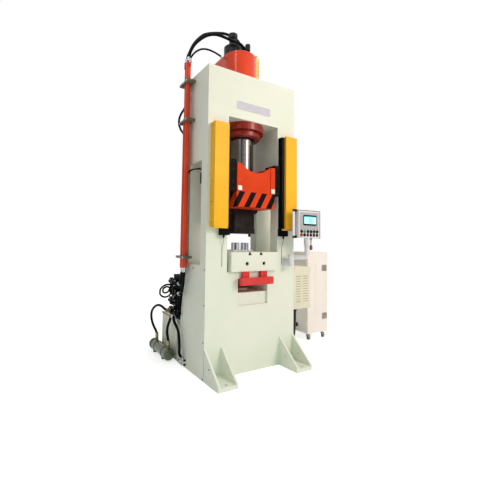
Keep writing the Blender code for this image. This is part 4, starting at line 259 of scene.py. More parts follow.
# Grey polyurethane cover of the thin curtain leads.
LEAD_COVER = finish_material("grey_lead_cover", "#77786F", "#6A6B63", 0.5, patch=33, grain=1.1, bump=0.02)
# Ribbed black nylon of the floor conduit.
CONDUIT_NYLON = finish_material("black_conduit_nylon", "#111111", "#1A1A1B", 0.42, patch=50, grain=1.7,
                                bump=0.05, specular=0.3)
# Bright zinc plate on bolts, nuts and crimped hose ends.
ZINC = finish_material("bright_zinc_plate", "#C9CBCE", "#B4B6BA", 0.27, 0.95, patch=25, grain=1.4, bump=0.05)
# Yellow-brown passivated plate on the bent cooler fittings.
BRONZE_PLATE = finish_material("bronze_passivated_plate", "#A79367", "#8E7B52", 0.32, 0.9, patch=22,
                               grain=1.7)
# Silver lacquer on the pendant's aluminium castings and extrusions.
SILVER_LACQUER = finish_material("silver_lacquered_aluminium", "#E0DFE2", "#D6D5D8", 0.36, 0.1, patch=110,
                                 grain=1.5, bump=0.05, specular=0.4)
# Brushed aluminium sheet of the pendant's face: 4 mm streaks, twice as coarse as the brush leaves them.
BRUSHED_SHEET = finish_material("brushed_aluminium_sheet", "#B3B2B5", "#A4A3A6", 0.38, 0.2, patch=70,
                                grain=4, bump=0.05, stretch=(1.0, 1.0, 30.0), specular=0.4)
# Dull grey-lavender anodised sheet of the blank plate on the crown.
PLATE_FILM = finish_material("grey_anodised_plate", "#CFCDD8", "#C6C4D0", 0.5, patch=90, grain=2, bump=0.02,
                             specular=0.25)
# Cream fine-texture powder coat of the control cabinet: 1 mm grain.
CREAM_COAT = finish_material("cream_powder_coat", "#FBF5EE", "#F7F0E7", 0.5, patch=400, grain=1, bump=0.10,
                             specular=0.3)
# Darker cream of the seam that runs up the cabinet's door.
SEAM_COAT = finish_material("shaded_cream_seam", "#D8CDBE", "#CFC3B2", 0.55, patch=60, grain=1, specular=0.2)
# Dull grey zinc of the caster forks.
CASTER_ZINC = finish_material("dull_zinc_caster", "#8D8F86", "#7C7E76", 0.42, 0.5, patch=30, grain=1.4,
                              bump=0.05)
# Warm grey powder coat behind the cabinet's vents; the same grey is the painted shade under the louvre box's
# blades.
VENT_GREY_AND_LOUVRE_SHADE = finish_material("warm_grey_vent_coat_and_louvre_shade", "#A29389", "#8F8077", 0.55, patch=50, grain=1.3)
# Grey rubber tread of the casters.
TREAD = finish_material("grey_caster_rubber", "#59595B", "#4B4B4D", 0.62, patch=33, grain=1.3, bump=0.1)
# Moulded plastics of the pendant's controls and plug.
RED_PLASTIC = finish_material("red_button_plastic", "#D8302C", "#C92622", 0.28, patch=17, grain=1.1,
                              bump=0.02)
GREEN_PLASTIC = finish_material("green_lamp_plastic", "#35A87A", "#2A946A", 0.25, patch=17, grain=1.1,
                                bump=0.02)
BLACK_PLASTIC = finish_material("black_moulded_plastic", "#121213", "#1B1B1D", 0.42, patch=20, grain=1.1,
                                bump=0.06, specular=0.15)
BROWN_PLASTIC = finish_material("reddish_brown_plastic", "#8A4A41", "#753C35", 0.42, patch=20, grain=1.3,
                                bump=0.05)
# White nylon of the slide's stop blocks and of the level glass.
WHITE_NYLON = finish_material("white_nylon", "#F4F1EA", "#E9E5DC", 0.42, patch=33, grain=1.4, bump=0.04)
# Cold white lacquer of the pendant's left handle grip.
GRIP_WHITE = finish_material("white_lacquered_grip", "#FAFAFD", "#F1F1F5", 0.35, patch=33, grain=1.4,
                             bump=0.02)
# Dark red plastic of the stop button.
DARK_RED = finish_material("dark_red_button_plastic", "#8C211E", "#7A1B19", 0.35, patch=17, grain=1.1,
                           bump=0.02)
# Near-black painted shade inside the bolster's T-slots and front holes.
HOLLOW_SHADE_BLACK = finish_material("black_painted_hollow_shade", "#121212", "#1C1B1A", 0.6, patch=20, grain=2,
                               specular=0.2)


def chrome_material(name, bright, deep, low, high):
    """Ground hard chrome: mirror bright, with faint grinding rings round the bar's own axis.

    The rings are 17 mm blotches squeezed 14 times along the bar, so about 1.2 mm apart, where a grinding
    wheel leaves them a few hundredths of a millimetre apart.
    """
    material, tree, _, place = new_material(name)
    squeezed = add_node(tree, "Mapping", {"Scale": (0.2, 0.2, 14.0)}, {"Vector": place})
    rings = add_node(tree, "TexNoise", {"Scale": lumps(17), "Detail": 3.0}, {"Vector": squeezed})
    share = add_node(tree, "MapRange", {1: 0.4, 2: 0.6}, {0: rings})
    tone = add_node(tree, "Mix", {6: lin(bright), 7: lin(deep)}, {0: share}, data_type="RGBA")
    gloss = add_node(tree, "MapRange", {1: 0.35, 2: 0.65, 3: low, 4: high}, {0: rings})
    return surface(material, tone, gloss, rings, 0.03, 0.001, {"Metallic": 1.0})


def hammered_material():
    """Olive hammered enamel: rounded cells of about 4 mm that catch the light."""
    material, tree, _, place = new_material("olive_hammered_enamel")
    cells = add_node(tree, "TexVoronoi", {"Scale": lumps(4)}, {"Vector": place})
    share = add_node(tree, "MapRange", {1: 0.1, 2: 0.7}, {0: cells})
    tone = add_node(tree, "Mix", {6: lin("#5B6844"), 7: lin("#46512F")}, {0: share}, data_type="RGBA")
    gloss = uneven(tree, place, 40, 3.0, 0.3, 0.7, 0.24, 0.36)
    return surface(material, tone, gloss, cells, 0.35, 0.001, {"Coat Weight": 0.3})


def striped_material():
    """Slide enamel with slanting black hazard bars on the band along the lower edge of its walls.

    A bar covers the points where (x - turn * depth behind the front - lean * height above the lower edge
    - first) / pitch has a fraction below the bar's share of the pitch, so the bars run on round the corner.
    """
    material, tree, _, place = new_material("slide_enamel_with_hazard_bars")
    x, y, z = add_node(tree, "SeparateXYZ", links={0: place}).outputs
    height = add_node(tree, "Math", {1: SLIDE_LOW}, {0: z}, operation="SUBTRACT")
    behind = add_node(tree, "Math", {1: SLIDE_FRONT}, {0: y}, operation="SUBTRACT")
    bent = add_node(tree, "Math", {1: -BAR_TURN}, {0: behind, 2: x}, operation="MULTIPLY_ADD")
    along = add_node(tree, "Math", {1: -BAR_LEAN}, {0: height, 2: bent}, operation="MULTIPLY_ADD")
    turns = add_node(tree, "Math", {1: 1 / BAR_PITCH, 2: 4 - BAR_FIRST / BAR_PITCH}, {0: along},
                     operation="MULTIPLY_ADD")
    count = add_node(tree, "Math", links={0: turns}, operation="FRACT")
    bar = add_node(tree, "Math", {1: BAR_SHARE}, {0: count}, operation="LESS_THAN")
    band = add_node(tree, "Math", {1: BAND_HEIGHT}, {0: height}, operation="LESS_THAN")
    depth = add_node(tree, "Math", links={0: y}, operation="ABSOLUTE")
    face = add_node(tree, "Math", {1: -SLIDE_FRONT - PAINT_DEPTH}, {0: depth}, operation="GREATER_THAN")
    width = add_node(tree, "Math", links={0: x}, operation="ABSOLUTE")
    side = add_node(tree, "Math", {1: SLIDE_HALF - PAINT_DEPTH}, {0: width}, operation="GREATER_THAN")
    face = add_node(tree, "Math", links={0: face, 1: side}, operation="MAXIMUM")
    mask = add_node(tree, "Math", links={0: bar, 1: band}, operation="MULTIPLY")
    mask = add_node(tree, "Math", links={0: mask, 1: face}, operation="MULTIPLY")
    patches = uneven(tree, place, 330, 5.0, 0.35, 0.68)
    enamel = add_node(tree, "Mix", {6: lin("#E4481E"), 7: lin("#D83E18")}, {0: patches}, data_type="RGBA")
    tone = add_node(tree, "Mix", {7: lin("#080607")}, {0: mask, 6: enamel}, data_type="RGBA")
    gloss = uneven(tree, place, 80, 3.0, 0.3, 0.7, 0.38, 0.48)
    skin = add_node(tree, "TexNoise", {"Scale": lumps(5), "Detail": 3.0}, {"Vector": place})
    return surface(material, tone, gloss, skin, 0.04, 0.002, {"Specular IOR Level": 0.05})


def display_material():
    """Lit liquid crystal display: its picture is the mesh's own colour attribute, under fine pixel rows.

    A wave's rows are 0.314 m / scale apart, so 1.2 mm here, where a real display has them 0.2 mm apart.
    """
    material, tree, shader, place = new_material("lit_cyan_display")
    picture = add_node(tree, "VertexColor", layer_name="picture")
    rows = add_node(tree, "TexWave", {"Scale": 260.0}, {"Vector": place}, bands_direction="Z")
    share = add_node(tree, "MapRange", {4: 0.12}, {0: rows})
    tone = add_node(tree, "Mix", {7: lin("#4FA9C4")}, {0: share, 6: picture}, data_type="RGBA")
    settle(tree, shader, {"Emission Strength": 0.75, "Roughness": 0.12},
           {"Base Color": tone, "Emission Color": tone})
    return material


# Chrome of the die shoe and its guide pillars, bright, and of the piston rod, which is a little rougher
# and painted darker for the shade that it stands in: painted shade.
CHROME = chrome_material("ground_hard_chrome", "#C6C6CA", "#B2B2B8", 0.08, 0.16)
SHADED_ROD_CHROME = chrome_material("hard_chrome_with_painted_shade", "#7C7776", "#69635F", 0.12, 0.22)
OLIVE = hammered_material()
SLIDE_PAINT = striped_material()
DISPLAY = display_material()


def place_object(name, data):
    """A new object of these data, linked to the scene."""
    made = bpy.data.objects.new(name, data)
    bpy.context.scene.collection.objects.link(made)
    return made


def across(axis):
    """Two unit vectors square to the axis and to each other, and the axis as a unit vector."""
    axis = np.array(axis, float) / np.linalg.norm(axis)
    helper = np.array((0.0, 0.0, 1.0)) if abs(axis[2]) < 0.9 else np.array((1.0, 0.0, 0.0))
    first = np.cross(helper, axis)
    first /= np.linalg.norm(first)
    return first, np.cross(axis, first), axis


class Shape:
    """Points and faces of one mesh, gathered from surfaces that are worked out as whole arrays."""

    def __init__(self):
        self.points = np.zeros((0, 3))
        self.faces = []

    def box(self, low, high):
        """A block between two opposite corners: each choice of low or high along the axes is a corner."""
        low, high = np.sort([low, high], axis=0)
        corners = np.array(np.meshgrid(*zip(low, high), indexing="ij")).reshape(3, -1).T
        faces = np.array(((0, 1, 3, 2), (4, 6, 7, 5), (0, 4, 5, 1),
                          (2, 3, 7, 6), (0, 2, 6, 4), (1, 5, 7, 3)))
        self.faces += (faces + len(self.points)).tolist()
        self.points = np.vstack([self.points, corners])
        return self

    def skin(self, rows, loop):
        """Four-sided faces from each row of points to the next and round each row.

        rows is an array of rows, points round the row and coordinates. With loop the last row joins the
        first; otherwise one face closes each end.
        """
        index = len(self.points) + np.arange(rows.shape[0] * rows.shape[1]).reshape(rows.shape[:2])
        self.points = np.vstack([self.points, rows.reshape(-1, 3)])
        low = index if loop else index[:-1]
        high = np.roll(index, -1, axis=0) if loop else index[1:]
        quads = np.stack([low, np.roll(low, -1, axis=1), np.roll(high, -1, axis=1), high], axis=-1)
        self.faces += quads.reshape(-1, 4).tolist()
        if not loop:
            self.faces += [index[0, ::-1].tolist(), index[-1].tolist()]
        return self

    def turn(self, profile, centre, axis=(0, 0, 1), steps=32):
        """A lathe shape: centre + height * axis + radius * (cos(angle) * u + sin(angle) * v).

        radius and height run along the profile and angle runs round the axis; u and v are square to it. A
        profile that starts and ends on the axis is a solid, and any other is a ring whose section is closed.
        """
        u, v, w = across(axis)
        profile = np.array(profile, float)
        solid = profile[0, 0] == 0 and profile[-1, 0] == 0
        if solid and profile[0, 1] == profile[1, 1]:
            profile = profile[1:]
        if solid and profile[-1, 1] == profile[-2, 1]:
            profile = profile[:-1]
        angle = np.arange(steps) * math.tau / steps
        spoke = np.outer(np.cos(angle), u) + np.outer(np.sin(angle), v)
        radius = np.maximum(profile[:, 0], 1e-5)
        rows = np.array(centre) + profile[:, 1, None, None] * w + radius[:, None, None] * spoke
        return self.skin(rows, not solid)

    def pin(self, centre, radius, height, axis=(0, 0, 1), steps=24, chamfer=0.0):
        """A closed round bar, with its far edge chamfered."""
        end = [(radius, height)] if not chamfer else [(radius, height - chamfer), (radius - chamfer, height)]
        return self.turn([(0, 0), (radius, 0)] + end + [(0, height)], centre, axis, steps)

    def bolt(self, centre, radius, axis):
        """A hexagon head on a washer, sitting on the face at the centre."""
        tall = radius * 0.75
        self.pin(centre, radius * 1.25, radius * 0.16, axis, 20)
        base = np.array(centre) + across(axis)[2] * radius * 0.16
        profile = [(0, 0), (radius, 0), (radius, tall * 0.85), (radius * 0.86, tall), (0, tall)]
        return self.turn(profile, base, axis, 6)

    def socket(self, centre, radius, axis, height=None):
        """A round cap screw head with a hexagon socket sunk in it."""
        tall = height or radius
        profile = [(0, 0), (radius, 0), (radius, tall * 0.9), (radius * 0.9, tall), (radius * 0.5, tall),
                   (radius * 0.5, tall * 0.5), (0, tall * 0.5)]
        return self.turn(profile, centre, axis, 24)

    def tube(self, path, radius, sides=16, swell=None):
        """A round bar carried along a path: path + radius * swell * (cos(angle) * u + sin(angle) * v).

        u and v are square to the path's own direction, and u is the last one turned as little as possible,
        so the faces don't twist. swell is one number for each point of the path.
        """
        path = np.array([tuple(point) for point in path], float)
        along = np.gradient(path, axis=0)
        along /= np.linalg.norm(along, axis=1, keepdims=True)
        u = np.zeros_like(path)
        u[0] = across(along[0])[0]
        for row in range(1, len(path)):
            side = u[row - 1] - along[row] * (u[row - 1] @ along[row])
            u[row] = side / np.linalg.norm(side)
        v = np.cross(along, u)
        angle = np.arange(sides) * math.tau / sides
        size = radius * (np.ones(len(path)) if swell is None else swell)
        spoke = np.cos(angle)[None, :, None] * u[:, None] + np.sin(angle)[None, :, None] * v[:, None]
        return self.skin(path[:, None] + size[:, None, None] * spoke, False)

    def make(self, name, material, body="root", slot=None, bevel=0.0, angle=35.0):
        """The piece itself: shaded, with soft edges if asked, riding on its body."""
        mesh = bpy.data.meshes.new(name)
        mesh.from_pydata(self.points.tolist(), [], self.faces)
        mesh.materials.append(material)
        mesh.shade_smooth()
        mesh.set_sharp_from_angle(angle=math.radians(angle))
        piece = place_object(name, mesh)
        if bevel:
            soften(piece, bevel)
        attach(piece, body)
        return piece


def soften(obj, width):
    """Round an object's sharp edges with a live bevel."""
    modifier = obj.modifiers.new("SoftEdges", "BEVEL")
    modifier.width = width
    modifier.segments = EDGE_STEPS
    modifier.limit_method = "ANGLE"
    modifier.angle_limit = math.radians(EDGE_TURN)


def dress(name, material, edge=0.0):
    """Give a CAD node its finish and, if asked, soft edges."""
    obj = NODES[name]
    if obj.material_slots:
        for slot in obj.material_slots:
            slot.material = material
    else:
        obj.data.materials.append(material)
    if edge:
        soften(obj, edge)


def curve_points(route, spacing):
    """Even points along the smooth curve through the route.

    Between knots b and c, with a before and d after, the curve is half of 2b + (c - a)t
    + (2a - 5b + 4c - d)t^2 + (3b - a - 3c + d)t^3 for t from 0 to 1. The points are then spaced by arc
    length.
    """
    knots = np.array([tuple(point) for point in route], float)
    knots = np.vstack([2 * knots[0] - knots[1], knots, 2 * knots[-1] - knots[-2]])
    a, b, c, d = (knots[i:len(knots) - 3 + i, None] for i in range(4))
    t = np.arange(20)[:, None] / 20
    fine = 0.5 * (2 * b + (c - a) * t + (2 * a - 5 * b + 4 * c - d) * t ** 2
                  + (3 * b - a - 3 * c + d) * t ** 3)
    fine = np.vstack([fine.reshape(-1, 3), knots[-2]])
    lengths = np.concatenate([[0.0], np.cumsum(np.linalg.norm(np.diff(fine, axis=0), axis=1))])
    marks = np.linspace(0, lengths[-1], max(4, round(lengths[-1] / spacing)) + 1)
    return np.stack([np.interp(marks, lengths, fine[:, i]) for i in range(3)], axis=1)


def set_camera():
    """Camera where the photograph was taken from, with its focal length and framing."""
    forward = Vector((math.sin(YAW) * math.cos(PITCH), math.cos(YAW) * math.cos(PITCH), math.sin(PITCH)))
    right = Vector((math.cos(YAW), -math.sin(YAW), 0.0))
    down = forward.cross(right)
    image_right = math.cos(ROLL) * right + math.sin(ROLL) * down
    image_down = -math.sin(ROLL) * right + math.cos(ROLL) * down
    data = bpy.data.cameras.new("photo_camera")
    data.sensor_width = SENSOR
    data.lens = FOCAL / PHOTO_SIZE * SENSOR
    data.shift_x = (PHOTO_SIZE / 2 - PHOTO_MIDDLE[0]) / PHOTO_SIZE
    data.shift_y = -(PHOTO_SIZE / 2 - PHOTO_MIDDLE[1]) / PHOTO_SIZE
    camera = place_object("photo_camera", data)
    turn = Matrix((image_right, -image_down, -forward)).transposed().to_4x4()
    camera.matrix_world = Matrix.Translation(CAMERA_PLACE) @ turn
    bpy.context.scene.camera = camera


set_camera()


def floor_conduit():
    """The ribbed conduit that lies on the floor from the louvred box to the cabinet."""
    x = SIDE + 0.06
    end = CABINET_LEFT - SEAT
    route = [(x, -0.245, 0.661 - SEAT), (x, -0.245, 0.581 - SEAT), (x, -0.240, 0.46), (x, -0.225, 0.32),
             (x + 0.005, -0.190, 0.18), (x + 0.025, -0.130, 0.085), (x + 0.07, -0.050, 0.040),
             (x + 0.17, 0.080, 0.030), (x + 0.33, 0.240, 0.030), (x + 0.50, 0.390, 0.045),
             (x + 0.62, 0.470, 0.105), (x + 0.68, 0.498, 0.180), (end - 0.03, 0.505, 0.210),
             (end, 0.505, 0.210)]
    path = curve_points(route, 0.004)
    shape = Shape().tube(path, 0.026, 20, np.where(np.arange(len(path)) % 3 < 2, 1.0, 0.93))
    piece = shape.make("floor_conduit", CONDUIT_NYLON, slot="hose_rubber", angle=60)
    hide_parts("cabinet_conduit")
    glands = Shape()
    glands.turn([(0.0275, 0), (0.033, 0), (0.033, -0.022), (0.029, -0.034), (0.0275, -0.034)],
                (x, -0.245, 0.661), (0, 0, 1), 24)
    glands.turn([(0.0275, 0), (0.033, 0), (0.033, 0.022), (0.029, 0.034), (0.0275, 0.034)],
                (end, 0.505, 0.210), (-1, 0, 0), 24)
    glands.make("conduit_glands", BLACK_PLASTIC, slot="black_plastic")


floor_conduit()


def dress_nodes():
    """Finishes and soft edges of the CAD nodes that stay: the finish, the edge's width and the nodes."""
    table = (
        (FRAME_ENAMEL, 0.004, "press_frame"), (FRAME_ENAMEL, 0.003, "power_tank"),
        (FRAME_ENAMEL, 0.0, "bolster ejector_cylinder"), (SHEET_ENAMEL, 0.002, "louvre_box"),
        (SHADED_CYLINDER_RED, 0.0, "main_cylinder"), (SLIDE_PAINT, 0.003, "slide"),
        (RED_ENAMEL, 0.0, "prefill_tank riser_pipe_front riser_pipe_rear"),
        (SIGNAL_RED, 0.004, "ejector_yoke"), (TOOL_STEEL, 0.0, "upper_tool"), (CHROME, 0.0, "die_shoe"),
        (VALVE_BLACK, 0.0, "prefill_valve"), (VALVE_BLACK, 0.002, "pilot_valve"),
        (PALE_YELLOW, 0.002, "gauge_column"), (MOTOR_GREY, 0.0, "pump_motor"),
        (BLACK_ENAMEL, 0.002, "valve_manifold"), (OLIVE, 0.0, "oil_cooler"),
        (CREAM_COAT, 0.002, "cabinet_body"), (CREAM_COAT, 0.0015, "cabinet_door"),
        (HOSE_COVER, 0.0, "limit_switch"), (SHADED_ROD_CHROME, 0.0, "piston_rod"),
        (SILVER_LACQUER, 0.0, "pendant_bracket pendant_arm pendant_panel"),
        (BROWN_PLASTIC, 0.0, "pendant_plug"), (RED_PLASTIC, 0.0, "emergency_stop"),
        (DARK_RED, 0.0, "stop_button"),
        (BLACK_PLASTIC, 0.0, "start_button mode_switch up_button down_button"),
        (YELLOW_COAT, 0.0, "side_cover_left side_cover_right"),
        (CASTER_ZINC, 0.0, "caster_fork_left caster_fork_right"),
        (TREAD, 0.0, "front_wheel_left front_wheel_right rear_wheel_left rear_wheel_right"))
    for material, edge, names in table:
        for name in names.split():
            dress(name, material, edge)
    for words in product(("guide_rail", "light_curtain"), ("front", "rear"), ("left", "right")):
        dress("_".join(words), BLACK_ENAMEL, 0.002)


dress_nodes()


def fitting(shape, sleeves, end, inward, radius):
    """A hose end: a hexagon nut at the port and a crimped sleeve with three grooves on the hose."""
    w = np.array(inward, float)
    w /= np.linalg.norm(w)
    shape.turn([(0, 0), (radius + 0.006, 0), (radius + 0.006, 0.018), (radius + 0.001, 0.021), (0, 0.021)],
               end, w, 6)
    profile = [(radius + 0.001, 0.020), (radius + 0.0045, 0.022)]
    for groove in range(3):
        z = 0.028 + groove * 0.009
        profile += [(radius + 0.0045, z), (radius + 0.0025, z + 0.002), (radius + 0.0025, z + 0.004),
                    (radius + 0.0045, z + 0.006)]
    profile += [(radius + 0.0045, SLEEVE_LENGTH), (radius, SLEEVE_LENGTH + 0.003)]
    sleeves.turn(profile, end, w, 24)


def hoses():
    """The hydraulic hoses with crimped ends, and the two looped cables."""
    top = RISER_TOP + SEAT
    tank = TANK_TOP + SEAT
    port_y = RISER_FRONT_Y - 0.046
    port_top = RISER_TOP - 0.0375 + SEAT
    foot = RISER_LOW - SEAT
    port = 0.375 + 0.02 - 0.03 - SEAT
    feed_x = MODULE_X + 0.025
    under = MODULE_Z[0] - 0.04 - SEAT
    middle = MODULE_X + 0.019
    cooler = 0.197 + SEAT
    far_x = MODULE_X - 0.025 - SEAT
    drain = -SIDE - SEAT
    cable = MODULE_X - SEAT
    manifold = 1.0903 + SEAT
    up = -SIDE - 0.037
    table = {
        "feed_hose_rear": (0.018, [
            (RISER_X, RISER_REAR_Y, top), (RISER_X, RISER_REAR_Y, top + 0.05), (-0.692, 0.197, 3.93),
            (-0.648, 0.200, 4.045), (-0.578, 0.205, 4.161), (-0.476, 0.210, 4.273),
            (-0.397, 0.215, 4.321), (-0.287, 0.220, 4.369), (-0.161, 0.225, 4.410),
            (-0.083, 0.230, 4.420), (0.030, 0.235, 4.415), (0.100, 0.230, 4.366), (0.140, 0.220, 4.280),
            (0.152, 0.205, 4.18), (0.152, 0.200, tank + 0.04), (0.152, 0.200, tank)]),
        "feed_hose_front": (0.018, [
            (RISER_X, RISER_FRONT_Y, top), (RISER_X, RISER_FRONT_Y, top + 0.04), (-0.708, 0.135, 3.90),
            (-0.668, 0.125, 4.007), (-0.611, 0.110, 4.085), (-0.529, 0.090, 4.165),
            (-0.449, 0.060, 4.205), (-0.385, 0.040, 4.217), (-0.307, 0.020, 4.211),
            (-0.229, 0.000, 4.190), (-0.112, -0.030, 4.168), (-0.045, -0.030, 4.160),
            (0.010, -0.025, 4.135), (0.038, -0.020, tank + 0.065), (0.040, -0.020, tank + 0.03),
            (0.040, -0.020, tank)]),
        "pilot_hose": (0.0115, [
            (RISER_X, port_y, port_top), (RISER_X, port_y, port_top + 0.04), (-0.704, 0.086, 3.848),
            (-0.656, 0.084, 3.915), (-0.586, 0.085, 3.974), (-0.520, 0.088, 4.003),
            (-0.438, 0.092, 4.014), (-0.347, 0.098, 4.006), (-0.285, 0.100, 3.992),
            (-0.2523, 0.100, 3.985), (-0.2223, 0.100, 3.985)]),
        "return_hose_rear": (0.018, [
            (RISER_X, RISER_REAR_Y, foot), (RISER_X, RISER_REAR_Y, foot - 0.05), (-0.717, 0.212, 1.100),
            (-0.707, 0.250, 1.040), (-0.696, 0.300, 1.004), (feed_x, port - 0.03, MODULE_Z[3]),
            (feed_x, port, MODULE_Z[3])]),
        "return_hose_front": (0.018, [
            (RISER_X, RISER_FRONT_Y, foot), (RISER_X, RISER_FRONT_Y, foot - 0.06), (-0.723, 0.143, 1.070),
            (-0.720, 0.168, 0.985), (-0.710, 0.215, 0.912), (-0.698, 0.275, 0.876),
            (feed_x, port - 0.03, MODULE_Z[2]), (feed_x, port, MODULE_Z[2])]),
        "cooler_hose_far": (0.017, [
            (far_x, 0.500, MODULE_Z[0] + 0.012), (far_x - 0.02, 0.500, MODULE_Z[0] + 0.012),
            (-0.785, 0.540, 0.645), (-0.790, 0.640, 0.662), (-0.785, 0.800, 0.660),
            (-0.780, 0.980, 0.605), (-0.775, 1.110, 0.510), (-0.765, 1.130, 0.400),
            (-0.752, 1.040, 0.300), (-0.745, 0.95, cooler + 0.05), (-0.745, 0.95, cooler)]),
        "cooler_hose_near": (0.017, [
            (middle, 0.560, under), (middle, 0.560, under - 0.03), (-0.712, 0.575, 0.490),
            (-0.730, 0.590, 0.420), (-0.742, 0.580, 0.330), (-0.745, 0.525, cooler + 0.05),
            (-0.745, 0.525, cooler)]),
        "drain_hose": (0.017, [
            (middle, 0.500, under), (middle, 0.500, under - 0.03), (-0.699, 0.455, 0.500),
            (-0.702, 0.370, 0.455), (-0.703, 0.295, 0.390), (-0.703, 0.268, 0.290),
            (-0.703, 0.262, 0.200), (-0.703, 0.255, 0.140), (-0.698, 0.248, 0.108),
            (drain - 0.025, 0.245, 0.09), (drain, 0.245, 0.09)]),
        "coil_cable": (0.011, [
            (cable, 0.450, MODULE_Z[1]), (cable - 0.03, 0.450, MODULE_Z[1]), (-0.775, 0.410, 0.785),
            (-0.772, 0.352, 0.850), (-0.768, 0.328, 0.925), (-0.800, 0.338, 0.983),
            (-0.860, 0.372, 0.985), (-0.912, 0.405, 0.935), (-0.917, 0.415, 0.875),
            (-0.872, 0.400, 0.833), (-0.812, 0.388, 0.843), (-0.776, 0.390, 0.893),
            (-0.792, 0.402, 0.945), (-0.838, 0.428, 0.952), (-0.868, 0.452, 0.910),
            (-0.842, 0.460, 0.872), (-0.795, 0.456, 0.883), (-0.762, 0.454, 0.930),
            (-0.752, 0.452, 0.972), (cable - 0.015, 0.450, MODULE_Z[3]), (cable, 0.450, MODULE_Z[3])]),
        "signal_cable": (0.014, [
            (-0.620, 0.450, manifold), (-0.620, 0.450, manifold + 0.03), (-0.635, 0.405, 1.175),
            (-0.672, 0.315, 1.220), (up, 0.262, 1.260), (up, 0.247, 1.30), (up, 0.247, 1.33),
            (up, 0.247, 1.40), (up, 0.247, 2.10), (up, 0.247, 2.80), (-0.704, 0.270, 2.900),
            (-0.716, 0.330, 2.965), (-0.722, 0.385, 3.045), (-0.722, 0.400, 3.115),
            (-0.718, 0.365, 3.180), (-0.706, 0.295, 3.225), (up, 0.250, 3.290), (up, 0.247, 3.350),
            (-0.684, 0.247, 3.395), (drain - 0.02, 0.247, 3.410), (drain, 0.247, 3.410)])}
    nuts_and_slot_shade, sleeves, bronze = (Shape() for _ in range(3))
    for name, (radius, route) in table.items():
        path = curve_points(curve_points(route, radius * 5), radius * 1.2)
        path = np.clip(path, np.array(CAD_BOX[0]) + radius, np.array(CAD_BOX[1]) - radius)
        bar = Shape().tube(path, radius, 20)
        piece = bar.make(name + "_cover", HOSE_COVER, slot="hose_rubber", angle=60)
        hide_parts(name)
        if "cable" in name:
            continue
        brown = "cooler" in name
        for end, step in ((route[0], route[1]), (route[-1], route[-2])):
            inward = np.array(step) - np.array(end)
            fitting(bronze if brown else nuts_and_slot_shade, bronze if brown else sleeves, end, inward, radius)
    nuts_and_slot_shade.make("hose_end_nuts", ZINC, angle=20)
    sleeves.make("hose_end_sleeves", ZINC)
    bronze.make("cooler_hose_fittings", BRONZE_PLATE, angle=25)


hoses()


def circle(z, radius, count, first=0.0):
    """Even points round the press's axis, at one height.

    Point k is radius * (cos(angle), sin(angle)), with angle = tau * (k + first) / count.
    """
    angle = math.tau * (np.arange(count) + first) / count
    return np.stack([radius * np.cos(angle), radius * np.sin(angle), np.full(count, z)], axis=1)


def cylinder_trim():
    """Bolt circles on the cylinder's flange and gland, the rod's wiper, and its clamp ring on the slide."""
    bolts, heads = Shape(), Shape()
    for point in circle(FLANGE_LOW, 0.268, 12, 0.5):
        bolts.bolt(point, 0.013, (0, 0, -1))
    for point in circle(GLAND_LOW, 0.212, 12):
        bolts.socket(point, 0.011, (0, 0, -1))
    # The bolts take the cylinder's red with its painted shade.
    bolts.make("cylinder_bolts", SHADED_CYLINDER_RED, slot="red_enamel", angle=25)
    wiper = Shape().turn([(0.1612, 0.001), (0.178, 0.001), (0.178, -0.006), (0.170, -0.010),
                          (0.1612, -0.010)],
                         (0, 0, GLAND_LOW), steps=64)
    wiper.make("rod_wiper", BLACK_PLASTIC, slot="black_plastic")
    ring = Shape().turn([(0.1615, 0), (0.195, 0), (0.195, 0.022), (0.189, 0.028), (0.1615, 0.028)],
                        (0, 0, HUB_TOP), steps=64)
    ring.make("rod_clamp_ring", BLACK_ENAMEL, "ram", "black_enamel")
    for point in circle(HUB_TOP + 0.028, 0.179, 8):
        heads.socket(point, 0.009, (0, 0, 1))
    heads.make("clamp_ring_screws", ZINC, "ram", angle=25)


def slide_trim():
    """White stop blocks and cheek screws on the slide, and the clamps of the upper tool."""
    blocks, bolts, tool = Shape(), Shape(), Shape()
    for side in BOTH:
        x = side * (SLIDE_HALF - 0.036)
        blocks.box((x - 0.0268, SLIDE_FRONT - 0.019, SLIDE_LOW + 0.1942),
                   (x + 0.0268, SLIDE_FRONT + 0.0005, SLIDE_LOW + 0.2478))
    blocks.make("stop_blocks", WHITE_NYLON, "ram", bevel=0.002)
    for side, face, z in product(BOTH, BOTH, (2.27, 2.40)):
        bolts.socket((side * 0.2525, face * 0.355, z), 0.009, (0, face, 0), 0.007)
    bolts.make("cheek_screws", RED_ENAMEL, "ram", "red_enamel", angle=25)
    for side, face in product(BOTH, BOTH):
        tool.box((side * 0.15, face * 0.05, TOOL_CLAMP_LOW), (side * 0.21, face * 0.085, SLIDE_LOW - SEAT))
        tool.socket((side * 0.192, face * 0.0675, TOOL_CLAMP_LOW), 0.010, (0, 0, -1))
    tool.make("tool_clamps", TOOL_STEEL, "ram", "black_enamel", bevel=0.0015)


